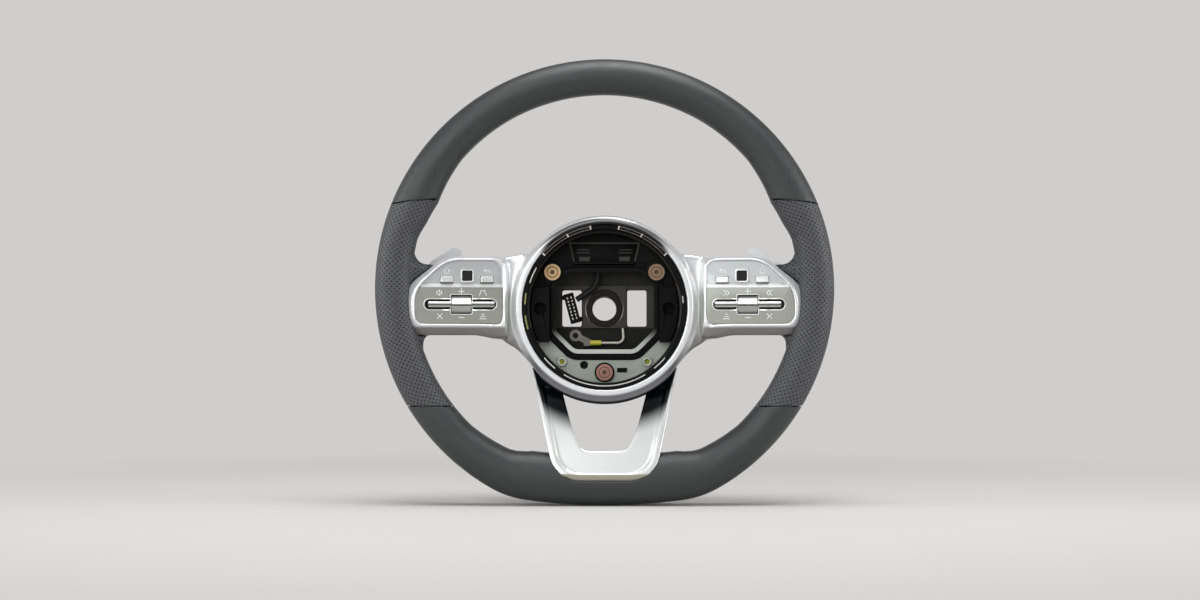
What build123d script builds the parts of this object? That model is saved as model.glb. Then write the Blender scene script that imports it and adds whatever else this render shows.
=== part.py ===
from build123d import *
import os
from math import atan2, cos, degrees, radians, sin, sqrt, tan

# A flat-bottomed car steering wheel with its airbag taken out, in millimetres.
# The origin is on the steering column's axis at the floor of the hub, +Z is up,
# +X is the driver's right and the driver sits on the -Y side.

# Clearances
GAP = 0.3            # between fixed pieces that seat beside each other
KEY_GAP = 0.35       # round a key in its window
RUN = 0.08           # on the radius of a shaft in its bore

# Rim
RIM_RADIUS = 185.0   # outer edge of the round part
RIM_RISE = 15.4      # centre of the rim circle above the column axis
RIM_PLANE = -54.0    # middle plane of the rim
RIM_DEPTH = 30.0     # front to back
FLAT_CUT = 10.4      # how much the flat takes off the circle
FLAT_DROP = RIM_RADIUS - RIM_RISE - FLAT_CUT  # lowest edge below the column axis
FLAT_RADIUS = 480.0  # the flat bottom is a very shallow arc
CORNER_RADIUS = 80.0
RIM_WIDTHS = (       # direction of the outward normal in degrees, width of the section
    (90, 29.0), (60, 29.2), (42, 30.0), (33, 32.4), (27, 34.2), (20, 32.2), (15, 29.0),
    (4, 29.4), (-10, 30.4), (-24, 31.0), (-46, 31.2), (-57, 34.0), (-68, 37.0),
    (-80, 39.5), (-90, 40.5),
)
STATION_PITCH = 20.0  # spacing of the sections that the leather is drawn through
OVAL_POINTS = 8      # points of a section's smooth closed curve
SEAM_GAP = 0.8       # groove where two lengths of leather meet
UPPER_SEAM_X, UPPER_SEAM_Z, UPPER_SEAM_TILT = 152.0, 84.8, 9.6
LOWER_SEAM_X, LOWER_SEAM_Z, LOWER_SEAM_TILT = 142.0, -79.6, -4.0
SEAM_OVERLAP = 13.0  # how far each length is drawn past its seam before it is cut, in degrees

# Steel ring inside the rim
CORE_INSET = 10.0    # below the outer edge of the leather
CORE_WIDTH = 10.0
CORE_DEPTH = 12.0
CORE_SET_BACK = 5.0  # its middle lies this far behind the rim's middle plane

# Bezel ring round the hub
RING_INNER, RING_FACE, RING_OUTER = 67.0, 71.0, 75.2
RING_FRONT, RING_BACK = -52.5, -34.0
RING_WALL = 2.4
COLLAR_FRONT = -47.5
COLLAR_OUTER_X = -83.0
COLLAR_TOP_Z = 43.2  # where the collar's upper edge meets the ring
COLLAR_FOOT_X, COLLAR_FOOT_Z = -57.0, -49.5
COLLAR_BEND_X, COLLAR_BEND_Z = -71.5, -33.5

# Side spokes, on a plane that leans towards the driver at the rim. Their lengths along the
# spoke are shares of the room between the ring and the rim's steel ring.
DRAWN_ROOM = 89.8    # the room for which the lengths are given
SHARE = (RIM_RADIUS - CORE_INSET - CORE_WIDTH - RING_OUTER) / DRAWN_ROOM
SPOKE_REACH = 41.8   # from the ring to the middle of the spoke
SPOKE_X, SPOKE_Y, SPOKE_Z = -RING_OUTER - SPOKE_REACH * SHARE, -59.0, 0.6
SPOKE_LEAN = 6.0
DRAWN_PANEL_LEFT, DRAWN_PANEL_RIGHT, PANEL_TOP, PANEL_BOTTOM = -35.2, 34.8, 36.4, -14.1
DRAWN_PANEL_SHOULDER_U, PANEL_SHOULDER_V = -9.5, 13.0
PANEL_SHOULDER_RADIUS = 26.0
PANEL_CORNER_RADIUS = 8.0
PANEL_THICKNESS = 3.0
PANEL_STEP = 1.8     # the upper field lies this much deeper
RIDGE_LOW, RIDGE_HIGH = 14.6, 18.2  # the slope down to it
FRAME_LIP = 1.9      # width of the frame's front edge round the panel
FRAME_PROUD = 1.5    # its height above the panel
FRAME_DEPTH = 13.0   # from the panel's face to the frame's back
FRAME_EDGE = 4.5     # below the panel's face, where the bevel to the lip starts
DRAWN_FRAME_LEFT, DRAWN_FRAME_RIGHT, FRAME_TOP, FRAME_BOTTOM = -44.6, 40.0, 40.2, -23.4
DRAWN_FRAME_SHOULDER_U, FRAME_SHOULDER_V = -11.0, 13.8
FRAME_SHOULDER_RADIUS = 30.0
FRAME_CORNER_RADIUS = 16.0
LEDGE = 1.4          # step inside the frame that carries the panel

# Leather root that runs from the grip under the spoke frame
DRAWN_ROOT_INNER_U = -9.0
ROOT_TOP, ROOT_BOTTOM = 34.0, -23.2
ROOT_FRONT, ROOT_BACK = -4.0, -22.5
DRAWN_THUMB_NOTCH_U, THUMB_NOTCH_RADIUS = -35.4, 10.0
DRAWN_LOWER_NOTCH_U, LOWER_NOTCH_RADIUS = -28.2, 6.0
ROOT_REACH = 15.0    # how far the root is sunk into the rim
ROOT_TALL = 20.0     # its overlap along the rim beyond the notches
ROOT_EDGE = 5.0      # bevel along its edges

# Keys on a side spoke
DRAWN_SLOT_LEFT, DRAWN_SLOT_RIGHT, SLOT_V, SLOT_HEIGHT = -27.6, 29.9, 1.3, 8.3
DRAWN_ROLLER_U, DRAWN_ROLLER_WIDTH, ROLLER_RADIUS = 2.0, 16.0, 7.2
ROLLER_FLAT = 2.2    # flat behind the roller's shaft
ROLLER_FACET = 22.0  # where the two front facets end, in degrees above the shaft
DRAWN_BAR_LENGTH, BAR_HEIGHT = 18.4, 4.6
DRAWN_BAR_OUTER_U, DRAWN_BAR_INNER_U = -15.3, 19.2
BAR_PROUD = 1.3
BAR_TAIL = 2.0       # material behind the shaft
DRAWN_KEY_WIDTH, KEY_HEIGHT, KEY_V = 10.0, 5.0, 21.2
DRAWN_KEY_OUTER_U, DRAWN_KEY_INNER_U = -9.7, 22.5
KEY_PROUD = 2.0      # lower edge of the wedge above the panel's upper field
KEY_RISE = 0.5       # its upper edge
DRAWN_PAD_U, PAD_V, DRAWN_PAD_SIZE, DRAWN_PAD_FRAME = 6.7, 24.4, 8.0, 10.5
PAD_RADIUS = 1.4
PAD_SUNK = 0.5
KEY_FOOT = 6.2       # back end of the keys' stems below the panel's face
STEM_SIZE = 2.6
SHAFT_RADIUS = 1.0
SHAFT_W = -4.5       # below the panel's face
HOUSING_DEPTH = 8.4
HOUSING_WALL = 1.5
HOUSING_INSET = 0.6  # inside the frame's opening
BOARD_THICKNESS = 1.2
BEARING_LENGTH = 2.0

# Well inside the ring
LINER_WALL = 3.6
LINER_FRONT = -50.0
CLIP_COUNT = 3       # clip slots on each side of the top
CLIP_FIRST, CLIP_STEP, CLIP_SPAN = 17.0, 27.0, 17.0
CLIP_FRONT, CLIP_HEIGHT = -48.0, 9.0

# Hub casting
FLOOR_FRONT, FLOOR_BACK = -4.0, 1.0
FLOOR_RADIUS = 46.0
FLANGE_INNER, FLANGE_THICKNESS = 61.4, 4.0
STEP_FRONT = -16.0   # depth of the step between the dish's two diameters
DISH_WALL = 3.0
WINDOW_X, WINDOW_WIDTH, WINDOW_TOP, WINDOW_BOTTOM = 27.0, 16.1, 15.4, -14.8
WINDOW_CORNER = 1.8
BLOCK_WIDTH, BLOCK_TOP, BLOCK_BOTTOM, BLOCK_FRONT = 36.0, 19.0, -16.0, -7.0
BAR_TALL = 26.0      # height of a side spoke of the casting
BAR_MIDDLE_V = 3.0
BAR_THICKNESS = 6.0
BAR_RAMP_X, BAR_LEVEL_X, BAR_INNER_X = -95.0, -84.0, -63.0
LEG_TOP_X, LEG_TOP_Z = -45.0, -45.0
LEG_FOOT_X = -31.0
LEG_WIDTH = 9.0
LEG_THICKNESS = 6.0
LEG_RAMP_Z, LEG_KNEE_Z, LEG_KNEE_Y = -79.0, -116.0, -51.0

# Column boss
BORE_RADIUS = 10.0
BOSS_RADIUS = 15.5
BOSS_FRONT, BOSS_BACK = -8.0, 22.0

# Carrier plate
PLATE_RADIUS, PLATE_FRONT, PLATE_BACK = 60.4, -22.0, -19.5
OCT_HALF, OCT_TOP, OCT_BOTTOM = 40.5, 29.6, -34.0
OCT_CHAMFER_TOP, OCT_CHAMFER_BOTTOM = 10.0, 16.0
OCT_CORNER_RADIUS = 9.0
OCT_LIP_WIDTH, OCT_LIP_HEIGHT = 3.4, 3.0
TRAY_TOP, TRAY_BOTTOM, TRAY_TOP_HALF, TRAY_BOTTOM_HALF = 53.0, 36.4, 27.6, 23.7
TRAY_DEPTH = 1.4
BOLT_SPREAD_X, BOLT_SPREAD_Z = 42.7, 29.4
BOLT_LOW_Z = -52.8
HEAD_RADIUS, HEAD_HEIGHT = 6.7, 4.4
SOCKET_RADIUS, SOCKET_DEPTH = 2.0, 2.6
HEAD_GROOVE_INNER, HEAD_GROOVE_OUTER, HEAD_GROOVE_DEPTH = 3.9, 4.7, 0.7
HEX_SIDES = 6
SHANK_RADIUS, SHANK_DEPTH = 3.0, 9.0
GROMMET_RADIUS, GROMMET_LIP, GROMMET_LIP_HEIGHT = 6.0, 2.2, 1.2
POST_RADIUS = 7.0
PEG_X, PEG_Z, PEG_RADIUS, PEG_HOLE, PEG_HEIGHT = 35.0, -44.0, 3.9, 2.2, 3.0
DRAIN_X, DRAIN_Z, DRAIN_RADIUS = -16.8, -46.7, 3.35
NOTCH_X, NOTCH_Z, NOTCH_WIDTH, NOTCH_HEIGHT = 14.5, -51.0, 8.3, 3.9
SIDE_BLOCK_GAP = 1.1
SIDE_BLOCK_INNER = OCT_HALF + OCT_LIP_WIDTH + SIDE_BLOCK_GAP
SIDE_BLOCK_TOP, SIDE_BLOCK_BOTTOM = 17.0, -28.0
SIDE_BLOCK_HEIGHT = 12.0
SIDE_BLOCK_HOLE_X, SIDE_BLOCK_HOLE_Z = (SIDE_BLOCK_INNER + PLATE_RADIUS) / 2, -1.0
SIDE_BLOCK_HOLE_SHARE = 0.325  # radius of the hole as a share of the block's width
SIDE_BLOCK_HOLE = (PLATE_RADIUS - SIDE_BLOCK_INNER) * SIDE_BLOCK_HOLE_SHARE

# Rear cover
BOWL_WALL = 2.5
BOWL_WAIST_Y = -12.0  # where the skirt ends and the taper starts
BOWL_BACK_RADIUS = 57.0
BOWL_HOLE_RADIUS = 42.0
BOWL_END_Y = 17.0
ARM_DEPTH = 17.7
ARM_INSET = 0.9
ARM_WALL = 2.4
DRAWN_ARM_OUTER_U = -8.4
COVER_POST_RADIUS, COVER_POST_X, COVER_POST_Z = 4.0, 34.0, 33.5
COVER_SCREW_RADIUS, COVER_SCREW_HEAD, COVER_SCREW_HEAD_HEIGHT = 1.8, 3.6, 2.2
COVER_SCREW_LENGTH = 10.0

# Lower spoke trim
TRIM_OUTER = ((-57.5, -58.0), (-50.5, -90.0), (-39.5, -139.8))
TRIM_OUTER_RADII = (80.0, 26.0)
TRIM_OPENING = ((-37.0, -58.0), (-26.0, -98.0), (-17.5, -115.4))
TRIM_OPENING_RADII = (50.0, 9.0)
TRIM_TOP_Y, TRIM_TOP_Z = -37.0, -58.0
TRIM_MIDDLE_Y, TRIM_MIDDLE_Z = -63.0, -112.0
TRIM_FOOT_Y, TRIM_FOOT_Z = -71.0, -142.0
TRIM_THICKNESS = 5.0
TRIM_LIP, TRIM_DISH = 6.0, 1.5  # raised outer lip and the step down to the face
LEG_COVER_BACK = 19.5
LEG_COVER_CLEAR = 8.7  # above the leather at the flat
LEG_COVER_FOOT_Z = RIM_WIDTHS[-1][1] + LEG_COVER_CLEAR - FLAT_DROP
LEG_COVER_INSET = 2.2

# Shift paddles
PADDLE_W, PADDLE_THICKNESS = -40.0, 4.0
DRAWN_PADDLE_PIVOT_U = 36.0
PADDLE_KNUCKLE_RADIUS, PADDLE_KNUCKLE_HALF = 4.5, 13.5
PADDLE_PIN_RADIUS = 2.0
PADDLE_OUTLINE = (
    (3.0, 47.5), (-4.0, 49.4), (-24.0, 36.5), (-33.0, 16.0),
    (-33.0, -6.0), (-22.0, -17.0), (4.0, -17.0), (14.0, -9.0),
    (14.0, 9.0), (3.0, 22.0),
)
PADDLE_RADII = (2.0, 3.0, 12.0, 9.0, 9.0, 8.0, 7.0, 4.0, 4.0, 8.0)
PADDLE_ARM_CORNER = 7  # corner of the outline where the arm starts
PADDLE_ARM_HALF = 9.0
BRACKET_LUG = 6.0
BRACKET_BASE = 3.0
BRACKET_HALF_WIDTH = 5.6

# Wiring in the hub
WIRE_RADIUS = 1.0
WIRE_BEND = 0.45     # share of a straight run that a bend may take at each end
WIRE_ROUTE = ((-2.8, -8.6, -28.4), (16.2, -8.6, -28.4), (15.2, -6.2, -16.5))
CRIMP_LEFT, CRIMP_RADIUS = -11.8, 2.2
TERMINAL_X, TERMINAL_Z, TERMINAL_RADIUS, TERMINAL_HOLE = -24.0, -22.3, 5.0, 2.3
TERMINAL_THICKNESS = 1.2
TAB_WIDTH = 5.4
HARNESS_RADIUS = 2.4
HARNESS_ROUTE = ((-5.2, -15.5, 33.0), (-6.5, -13.0, 18.5), (-23.0, -9.8, 7.4))
PLUG_X, PLUG_Z, PLUG_TILT = -26.9, 0.3, 15.0
PLUG_WIDTH, PLUG_HEIGHT, PLUG_FRONT, PLUG_BACK = 8.4, 25.0, -12.5, 3.0
PLUG_EARS_WIDTH, PLUG_EAR_HEIGHT, PLUG_EAR_Z, PLUG_EAR_THICKNESS = 17.4, 3.6, 8.8, 1.5


# Lengths along a spoke in the room that it has

PANEL_LEFT, PANEL_RIGHT = DRAWN_PANEL_LEFT * SHARE, DRAWN_PANEL_RIGHT * SHARE
PANEL_SHOULDER_U = DRAWN_PANEL_SHOULDER_U * SHARE
FRAME_LEFT, FRAME_RIGHT = DRAWN_FRAME_LEFT * SHARE, DRAWN_FRAME_RIGHT * SHARE
FRAME_SHOULDER_U = DRAWN_FRAME_SHOULDER_U * SHARE
ROOT_INNER_U = DRAWN_ROOT_INNER_U * SHARE
THUMB_NOTCH_U = DRAWN_THUMB_NOTCH_U * SHARE
LOWER_NOTCH_U = DRAWN_LOWER_NOTCH_U * SHARE
SLOT_LEFT, SLOT_RIGHT = DRAWN_SLOT_LEFT * SHARE, DRAWN_SLOT_RIGHT * SHARE
ROLLER_U, ROLLER_WIDTH = DRAWN_ROLLER_U * SHARE, DRAWN_ROLLER_WIDTH * SHARE
BAR_LENGTH = DRAWN_BAR_LENGTH * SHARE
BAR_OUTER_U, BAR_INNER_U = DRAWN_BAR_OUTER_U * SHARE, DRAWN_BAR_INNER_U * SHARE
KEY_WIDTH = DRAWN_KEY_WIDTH * SHARE
KEY_OUTER_U, KEY_INNER_U = DRAWN_KEY_OUTER_U * SHARE, DRAWN_KEY_INNER_U * SHARE
PAD_U, PAD_SIZE, PAD_FRAME = DRAWN_PAD_U * SHARE, DRAWN_PAD_SIZE * SHARE, DRAWN_PAD_FRAME * SHARE
ARM_OUTER_U = DRAWN_ARM_OUTER_U * SHARE
PADDLE_PIVOT_U = DRAWN_PADDLE_PIVOT_U * SHARE


# Helpers

def facing(y):
    """The front view at depth y: local x and y are X and Z, and out is towards the driver."""
    return Plane(origin=(0, y, 0), x_dir=(1, 0, 0), z_dir=(0, -1, 0))


def prism(outline, back, front):
    """A front-view outline pushed from the depth `back` forward to `front`."""
    return extrude(facing(back) * outline, amount=back - front)


def disc(x, z, radius, back, front):
    return prism(Pos(x, z) * Circle(radius), back, front)


def turned(*points):
    """A ring turned about the column axis from (radius, y) points."""
    return revolve(make_face(Polyline(*points, close=True)), axis=Axis.Y)


def rounded(points, radii):
    return make_face(FilletPolyline(*points, radius=radii, close=True))


def right_of(part):
    return mirror(part, about=Plane.YZ)


def both_sides(part):
    return part + right_of(part)


# The rim

DROP_CENTRE = FLAT_RADIUS - FLAT_DROP - RIM_RISE
CORNER_RISE = (
    DROP_CENTRE ** 2 + (RIM_RADIUS - CORNER_RADIUS) ** 2 - (FLAT_RADIUS - CORNER_RADIUS) ** 2
) / (2 * DROP_CENTRE)
CORNER_X = sqrt((RIM_RADIUS - CORNER_RADIUS) ** 2 - CORNER_RISE ** 2)
CORNER_Z = RIM_RISE + CORNER_RISE
FLAT_Z = FLAT_RADIUS - FLAT_DROP
ROUND_END = degrees(atan2(CORNER_RISE, CORNER_X))
FLAT_START = degrees(atan2(CORNER_Z - FLAT_Z, CORNER_X))


def rim_arc(angle):
    """Centre and radius of the arc of the outer edge whose normal has this direction."""
    side = angle if angle > -90 else -180 - angle
    sign = 1 if angle > -90 else -1
    if side > 90:
        side = 180 - side
    if side >= ROUND_END:
        return 0, RIM_RISE, RIM_RADIUS
    if side >= FLAT_START:
        return sign * CORNER_X, CORNER_Z, CORNER_RADIUS
    return 0, FLAT_Z, FLAT_RADIUS


def rim_section(angle, width):
    """The oval section of the rim where the outer edge faces the given direction."""
    x, z, radius = rim_arc(angle)
    out = (cos(radians(angle)), sin(radians(angle)))
    reach = radius - width / 2
    plane = Plane(
        origin=(x + reach * out[0], RIM_PLANE, z + reach * out[1]),
        x_dir=(-out[0], 0, -out[1]),
        z_dir=(-out[1], 0, out[0]),
    )
    points = []
    for index in range(OVAL_POINTS):
        turn = radians(360 * index / OVAL_POINTS)
        points.append((width / 2 * cos(turn), RIM_DEPTH / 2 * sin(turn)))
    return plane * make_face(Spline(*points, periodic=True))


FLAT_HALF = FLAT_RADIUS * radians(FLAT_START + 90)
ROUND_START = FLAT_HALF + CORNER_RADIUS * radians(ROUND_END - FLAT_START)
HALF_WAY = ROUND_START + RIM_RADIUS * radians(90 - ROUND_END)


def rim_distance(angle):
    """How far along the outer edge, from the middle of the flat, a direction of the round part is."""
    return ROUND_START + RIM_RADIUS * radians(angle - ROUND_END)


def rim_direction(distance):
    """The outward direction at a distance along the outer edge, anticlockwise from the flat."""
    if distance < 0:
        return -180 - rim_direction(-distance)
    if distance > HALF_WAY:
        return 180 - rim_direction(2 * HALF_WAY - distance)
    if distance < FLAT_HALF:
        return degrees(distance / FLAT_RADIUS) - 90
    if distance < ROUND_START:
        return FLAT_START + degrees((distance - FLAT_HALF) / CORNER_RADIUS)
    return ROUND_END + degrees((distance - ROUND_START) / RIM_RADIUS)


def rim_width(angle):
    """The width of the section, the same on both sides of the wheel."""
    side = angle
    if angle < -90:
        side = -180 - angle
    elif angle > 90:
        side = 180 - angle
    for (high, wide), (low, narrow) in zip(RIM_WIDTHS, RIM_WIDTHS[1:]):
        if side >= low:
            return narrow + (wide - narrow) * (side - low) / (high - low)
    return RIM_WIDTHS[-1][1]


def rim_length(first, last):
    """A length of rim between two distances along its outer edge."""
    count = round((last - first) / STATION_PITCH)
    sections = []
    for index in range(count + 1):
        angle = rim_direction(first + (last - first) * index / count)
        sections.append(rim_section(angle, rim_width(angle)))
    return loft(sections, ruled=True)


def rim_outline(inset):
    """The closed front outline of the rim, set in from its outer edge."""
    ends = []
    for angle in (ROUND_END, 90, 180 - ROUND_END):
        reach = RIM_RADIUS - inset
        ends.append((reach * cos(radians(angle)), RIM_RISE + reach * sin(radians(angle))))
    corner = []
    for angle in ((ROUND_END + FLAT_START) / 2, FLAT_START):
        reach = CORNER_RADIUS - inset
        corner.append((CORNER_X + reach * cos(radians(angle)), CORNER_Z + reach * sin(radians(angle))))
    middle, low = corner
    edges = [
        ThreePointArc(*ends),
        ThreePointArc(ends[2], (-middle[0], middle[1]), (-low[0], low[1])),
        ThreePointArc((-low[0], low[1]), (0, inset - FLAT_DROP), low),
        ThreePointArc(low, middle, ends[0]),
    ]
    return make_face(Wire(edges))


def rim_ring(grow):
    """The steel ring, or the channel that it lies in when grown by a clearance."""
    outline = rim_outline(CORE_INSET - grow) - rim_outline(CORE_INSET + CORE_WIDTH + grow)
    middle = RIM_PLANE + CORE_SET_BACK
    return prism(outline, middle + CORE_DEPTH / 2 + grow, middle - CORE_DEPTH / 2 - grow)


def grip_zone(grow):
    """The band between the two seams on the left, grown past the seams by a distance."""
    outer = -RIM_RADIUS - RIM_DEPTH
    inner = -UPPER_SEAM_X / 2
    points = []
    for x in (inner, outer):
        slope = tan(radians(UPPER_SEAM_TILT))
        points.append((x, UPPER_SEAM_Z + (x + UPPER_SEAM_X) * slope + grow))
    for x in (outer, inner):
        slope = tan(radians(LOWER_SEAM_TILT))
        points.append((x, LOWER_SEAM_Z + (x + LOWER_SEAM_X) * slope - grow))
    return prism(make_face(Polyline(*points, close=True)), RIM_PLANE + RIM_DEPTH, RIM_PLANE - RIM_DEPTH)


# The side spokes are modelled on the left and mirrored

SPOKE = Plane(
    origin=(SPOKE_X, SPOKE_Y, SPOKE_Z),
    x_dir=(cos(radians(SPOKE_LEAN)), sin(radians(SPOKE_LEAN)), 0),
    z_dir=(sin(radians(SPOKE_LEAN)), -cos(radians(SPOKE_LEAN)), 0),
)


def on_spoke(outline, back, front):
    """An outline on the spoke's leaning plane, pushed from one depth to another."""
    return extrude(SPOKE.offset(back) * outline, amount=front - back)


def along_spoke(profile, start, length):
    """A (height, depth) profile pushed along the spoke towards the hub."""
    section = Plane(
        origin=SPOKE.from_local_coords((start, 0, 0)), x_dir=SPOKE.y_dir, z_dir=SPOKE.x_dir)
    return extrude(section * profile, amount=length)


def panel_outline(grow=0.0):
    points = (
        (PANEL_RIGHT, PANEL_TOP), (PANEL_SHOULDER_U, PANEL_TOP), (PANEL_LEFT, PANEL_SHOULDER_V),
        (PANEL_LEFT, PANEL_BOTTOM), (PANEL_RIGHT, PANEL_BOTTOM),
    )
    radii = (PANEL_CORNER_RADIUS, PANEL_SHOULDER_RADIUS, PANEL_SHOULDER_RADIUS,
             PANEL_CORNER_RADIUS, PANEL_CORNER_RADIUS / 2)
    outline = rounded(points, radii)
    return offset(outline, amount=grow) if grow else outline


def hidden_outline(inset):
    """The panel's outline with straight corners, set in, for what lies behind it."""
    corner = PANEL_CORNER_RADIUS
    outline = make_face(Polyline(
        (PANEL_RIGHT, PANEL_TOP - corner), (PANEL_RIGHT - corner, PANEL_TOP), (PANEL_SHOULDER_U, PANEL_TOP),
        (PANEL_LEFT, PANEL_SHOULDER_V), (PANEL_LEFT, PANEL_BOTTOM + corner),
        (PANEL_LEFT + corner, PANEL_BOTTOM), (PANEL_RIGHT - corner / 2, PANEL_BOTTOM),
        (PANEL_RIGHT, PANEL_BOTTOM + corner / 2), close=True))
    return offset(outline, amount=-inset, kind=Kind.INTERSECTION)


def frame_outline(grow=0.0):
    points = (
        (FRAME_RIGHT, FRAME_TOP), (FRAME_SHOULDER_U, FRAME_TOP), (FRAME_LEFT, FRAME_SHOULDER_V),
        (FRAME_LEFT, FRAME_BOTTOM), (FRAME_RIGHT, FRAME_BOTTOM),
    )
    radii = (PANEL_CORNER_RADIUS, FRAME_SHOULDER_RADIUS, FRAME_SHOULDER_RADIUS,
             FRAME_CORNER_RADIUS, PANEL_CORNER_RADIUS / 2)
    outline = rounded(points, radii)
    return offset(outline, amount=grow) if grow else outline


def frame_body(grow=0.0):
    """The spoke frame's outer form: an upright wall, then a bevel drawn in to the lip."""
    edge = SPOKE.offset(-FRAME_EDGE) * frame_outline(grow)
    front = SPOKE.offset(FRAME_PROUD) * panel_outline(FRAME_LIP + grow)
    wall = on_spoke(frame_outline(grow), -FRAME_DEPTH - grow, -FRAME_EDGE)
    return wall + loft([edge, front], ruled=True)


def leather_root():
    """The padded root that runs from the rim under the spoke frame, with its thumb notch."""
    rim_u = THUMB_NOTCH_U - ROOT_REACH
    points = (
        (rim_u, ROOT_TOP + ROOT_TALL), (THUMB_NOTCH_U, ROOT_TOP + ROOT_TALL), (THUMB_NOTCH_U, ROOT_TOP),
        (ROOT_INNER_U, ROOT_TOP), (ROOT_INNER_U, ROOT_BOTTOM), (LOWER_NOTCH_U, ROOT_BOTTOM),
        (LOWER_NOTCH_U, ROOT_BOTTOM - ROOT_TALL), (rim_u, ROOT_BOTTOM - ROOT_TALL),
    )
    radii = (0, 0, THUMB_NOTCH_RADIUS, 0, 0, LOWER_NOTCH_RADIUS, 0, 0)
    root = on_spoke(rounded(points, radii), ROOT_BACK, ROOT_FRONT)
    back = root.faces().sort_by(Axis((0, 0, 0), SPOKE.z_dir))[0]
    front = root.faces().sort_by(Axis((0, 0, 0), SPOKE.z_dir))[-1]
    return chamfer(back.edges() + front.edges(), ROOT_EDGE)


UPPER_SEAM_ANGLE = degrees(atan2(UPPER_SEAM_Z - RIM_RISE, UPPER_SEAM_X))
LOWER_SEAM_ANGLE = degrees(atan2(LOWER_SEAM_Z - RIM_RISE, LOWER_SEAM_X))


def leather():
    """The four lengths of padded leather, each closed round its channel."""
    channel = rim_ring(GAP)
    top_end = rim_distance(UPPER_SEAM_ANGLE - SEAM_OVERLAP)
    bottom_end = rim_distance(LOWER_SEAM_ANGLE + SEAM_OVERLAP)
    top = rim_length(top_end, 2 * HALF_WAY - top_end)
    bottom = rim_length(-bottom_end, bottom_end)
    grip = right_of(rim_length(
        rim_distance(LOWER_SEAM_ANGLE - SEAM_OVERLAP), rim_distance(UPPER_SEAM_ANGLE + SEAM_OVERLAP)))
    room = both_sides(grip_zone(SEAM_GAP / 2))
    grip = (grip & grip_zone(-SEAM_GAP / 2)) + leather_root()
    grip = grip - frame_body(GAP) - channel - casting_bar(GAP)
    bottom = bottom - room - channel - both_sides(casting_leg(GAP)) - trim_room()
    return {
        "leather_top": top - room - channel,
        "leather_left_grip": grip,
        "leather_right_grip": right_of(grip),
        "leather_bottom": bottom,
    }


# The hub casting

SEAT = RING_BACK + GAP
FLANGE_OUTER = RING_INNER - GAP
CORE_MIDDLE = CORE_INSET + CORE_WIDTH / 2


def casting_bar(grow=0.0):
    """A side spoke of the casting: level along the leaning spoke, then down to the hub's flange."""
    reach = SPOKE.to_local_coords(Vector(CORE_MIDDLE - RIM_RADIUS, SPOKE_Y, SPOKE_Z)).X
    front = -FRAME_DEPTH - 2 * GAP
    ramp = SPOKE.to_local_coords(Vector(BAR_RAMP_X, SPOKE_Y, SPOKE_Z)).X
    upper = SPOKE.from_local_coords(Vector(ramp, 0, front))
    lower = SPOKE.from_local_coords(Vector(ramp, 0, front - BAR_THICKNESS))
    level = Pos((reach + ramp) / 2, BAR_MIDDLE_V) * Rectangle(ramp - reach, BAR_TALL + 2 * grow)
    bar = on_spoke(level, front - BAR_THICKNESS - grow, front + grow)
    strip = make_face(Polyline(
        (upper.X, upper.Y), (BAR_LEVEL_X, SEAT), (BAR_INNER_X, SEAT),
        (BAR_INNER_X, SEAT + BAR_THICKNESS), (BAR_LEVEL_X - BAR_THICKNESS / 2, SEAT + BAR_THICKNESS),
        (lower.X, lower.Y), close=True))
    if grow:
        strip = offset(strip, amount=grow)
    low = SPOKE_Z + BAR_MIDDLE_V - BAR_TALL / 2 - grow
    return bar + extrude(Plane((0, 0, low)) * strip, amount=BAR_TALL + 2 * grow)


def side_profile(outline, half_width):
    """A (y, z) outline pushed across the wheel, the same to both sides."""
    plane = Plane(origin=(-half_width, 0, 0), x_dir=(0, 1, 0), z_dir=(1, 0, 0))
    return extrude(plane * outline, amount=2 * half_width)


def casting_leg(grow=0.0):
    """One of the two lower spokes of the casting, hidden behind the lower trim."""
    foot = CORE_MIDDLE - FLAT_DROP
    strip = make_face(Polyline(
        (SEAT, LEG_TOP_Z), (SEAT, LEG_RAMP_Z), (LEG_KNEE_Y, LEG_KNEE_Z), (LEG_KNEE_Y, foot),
        (LEG_KNEE_Y + LEG_THICKNESS, foot), (LEG_KNEE_Y + LEG_THICKNESS, LEG_KNEE_Z),
        (SEAT + LEG_THICKNESS, LEG_RAMP_Z), (SEAT + LEG_THICKNESS, LEG_TOP_Z), close=True))
    if grow:
        strip = offset(strip, amount=grow)
    half = LEG_WIDTH / 2 + grow
    view = make_face(Polyline(
        (LEG_TOP_X - half, LEG_TOP_Z + grow), (LEG_TOP_X + half, LEG_TOP_Z + grow),
        (LEG_FOOT_X + half, foot - grow), (LEG_FOOT_X - half, foot - grow), close=True))
    return prism(view, FLOOR_BACK, RIM_PLANE - RIM_DEPTH) & side_profile(strip, RING_OUTER)


def bolt_places():
    return ((-BOLT_SPREAD_X, BOLT_SPREAD_Z), (BOLT_SPREAD_X, BOLT_SPREAD_Z), (0, BOLT_LOW_Z))


def cover_posts():
    return [(x, z) for x in (-COVER_POST_X, COVER_POST_X) for z in (-COVER_POST_Z, COVER_POST_Z)]


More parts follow.
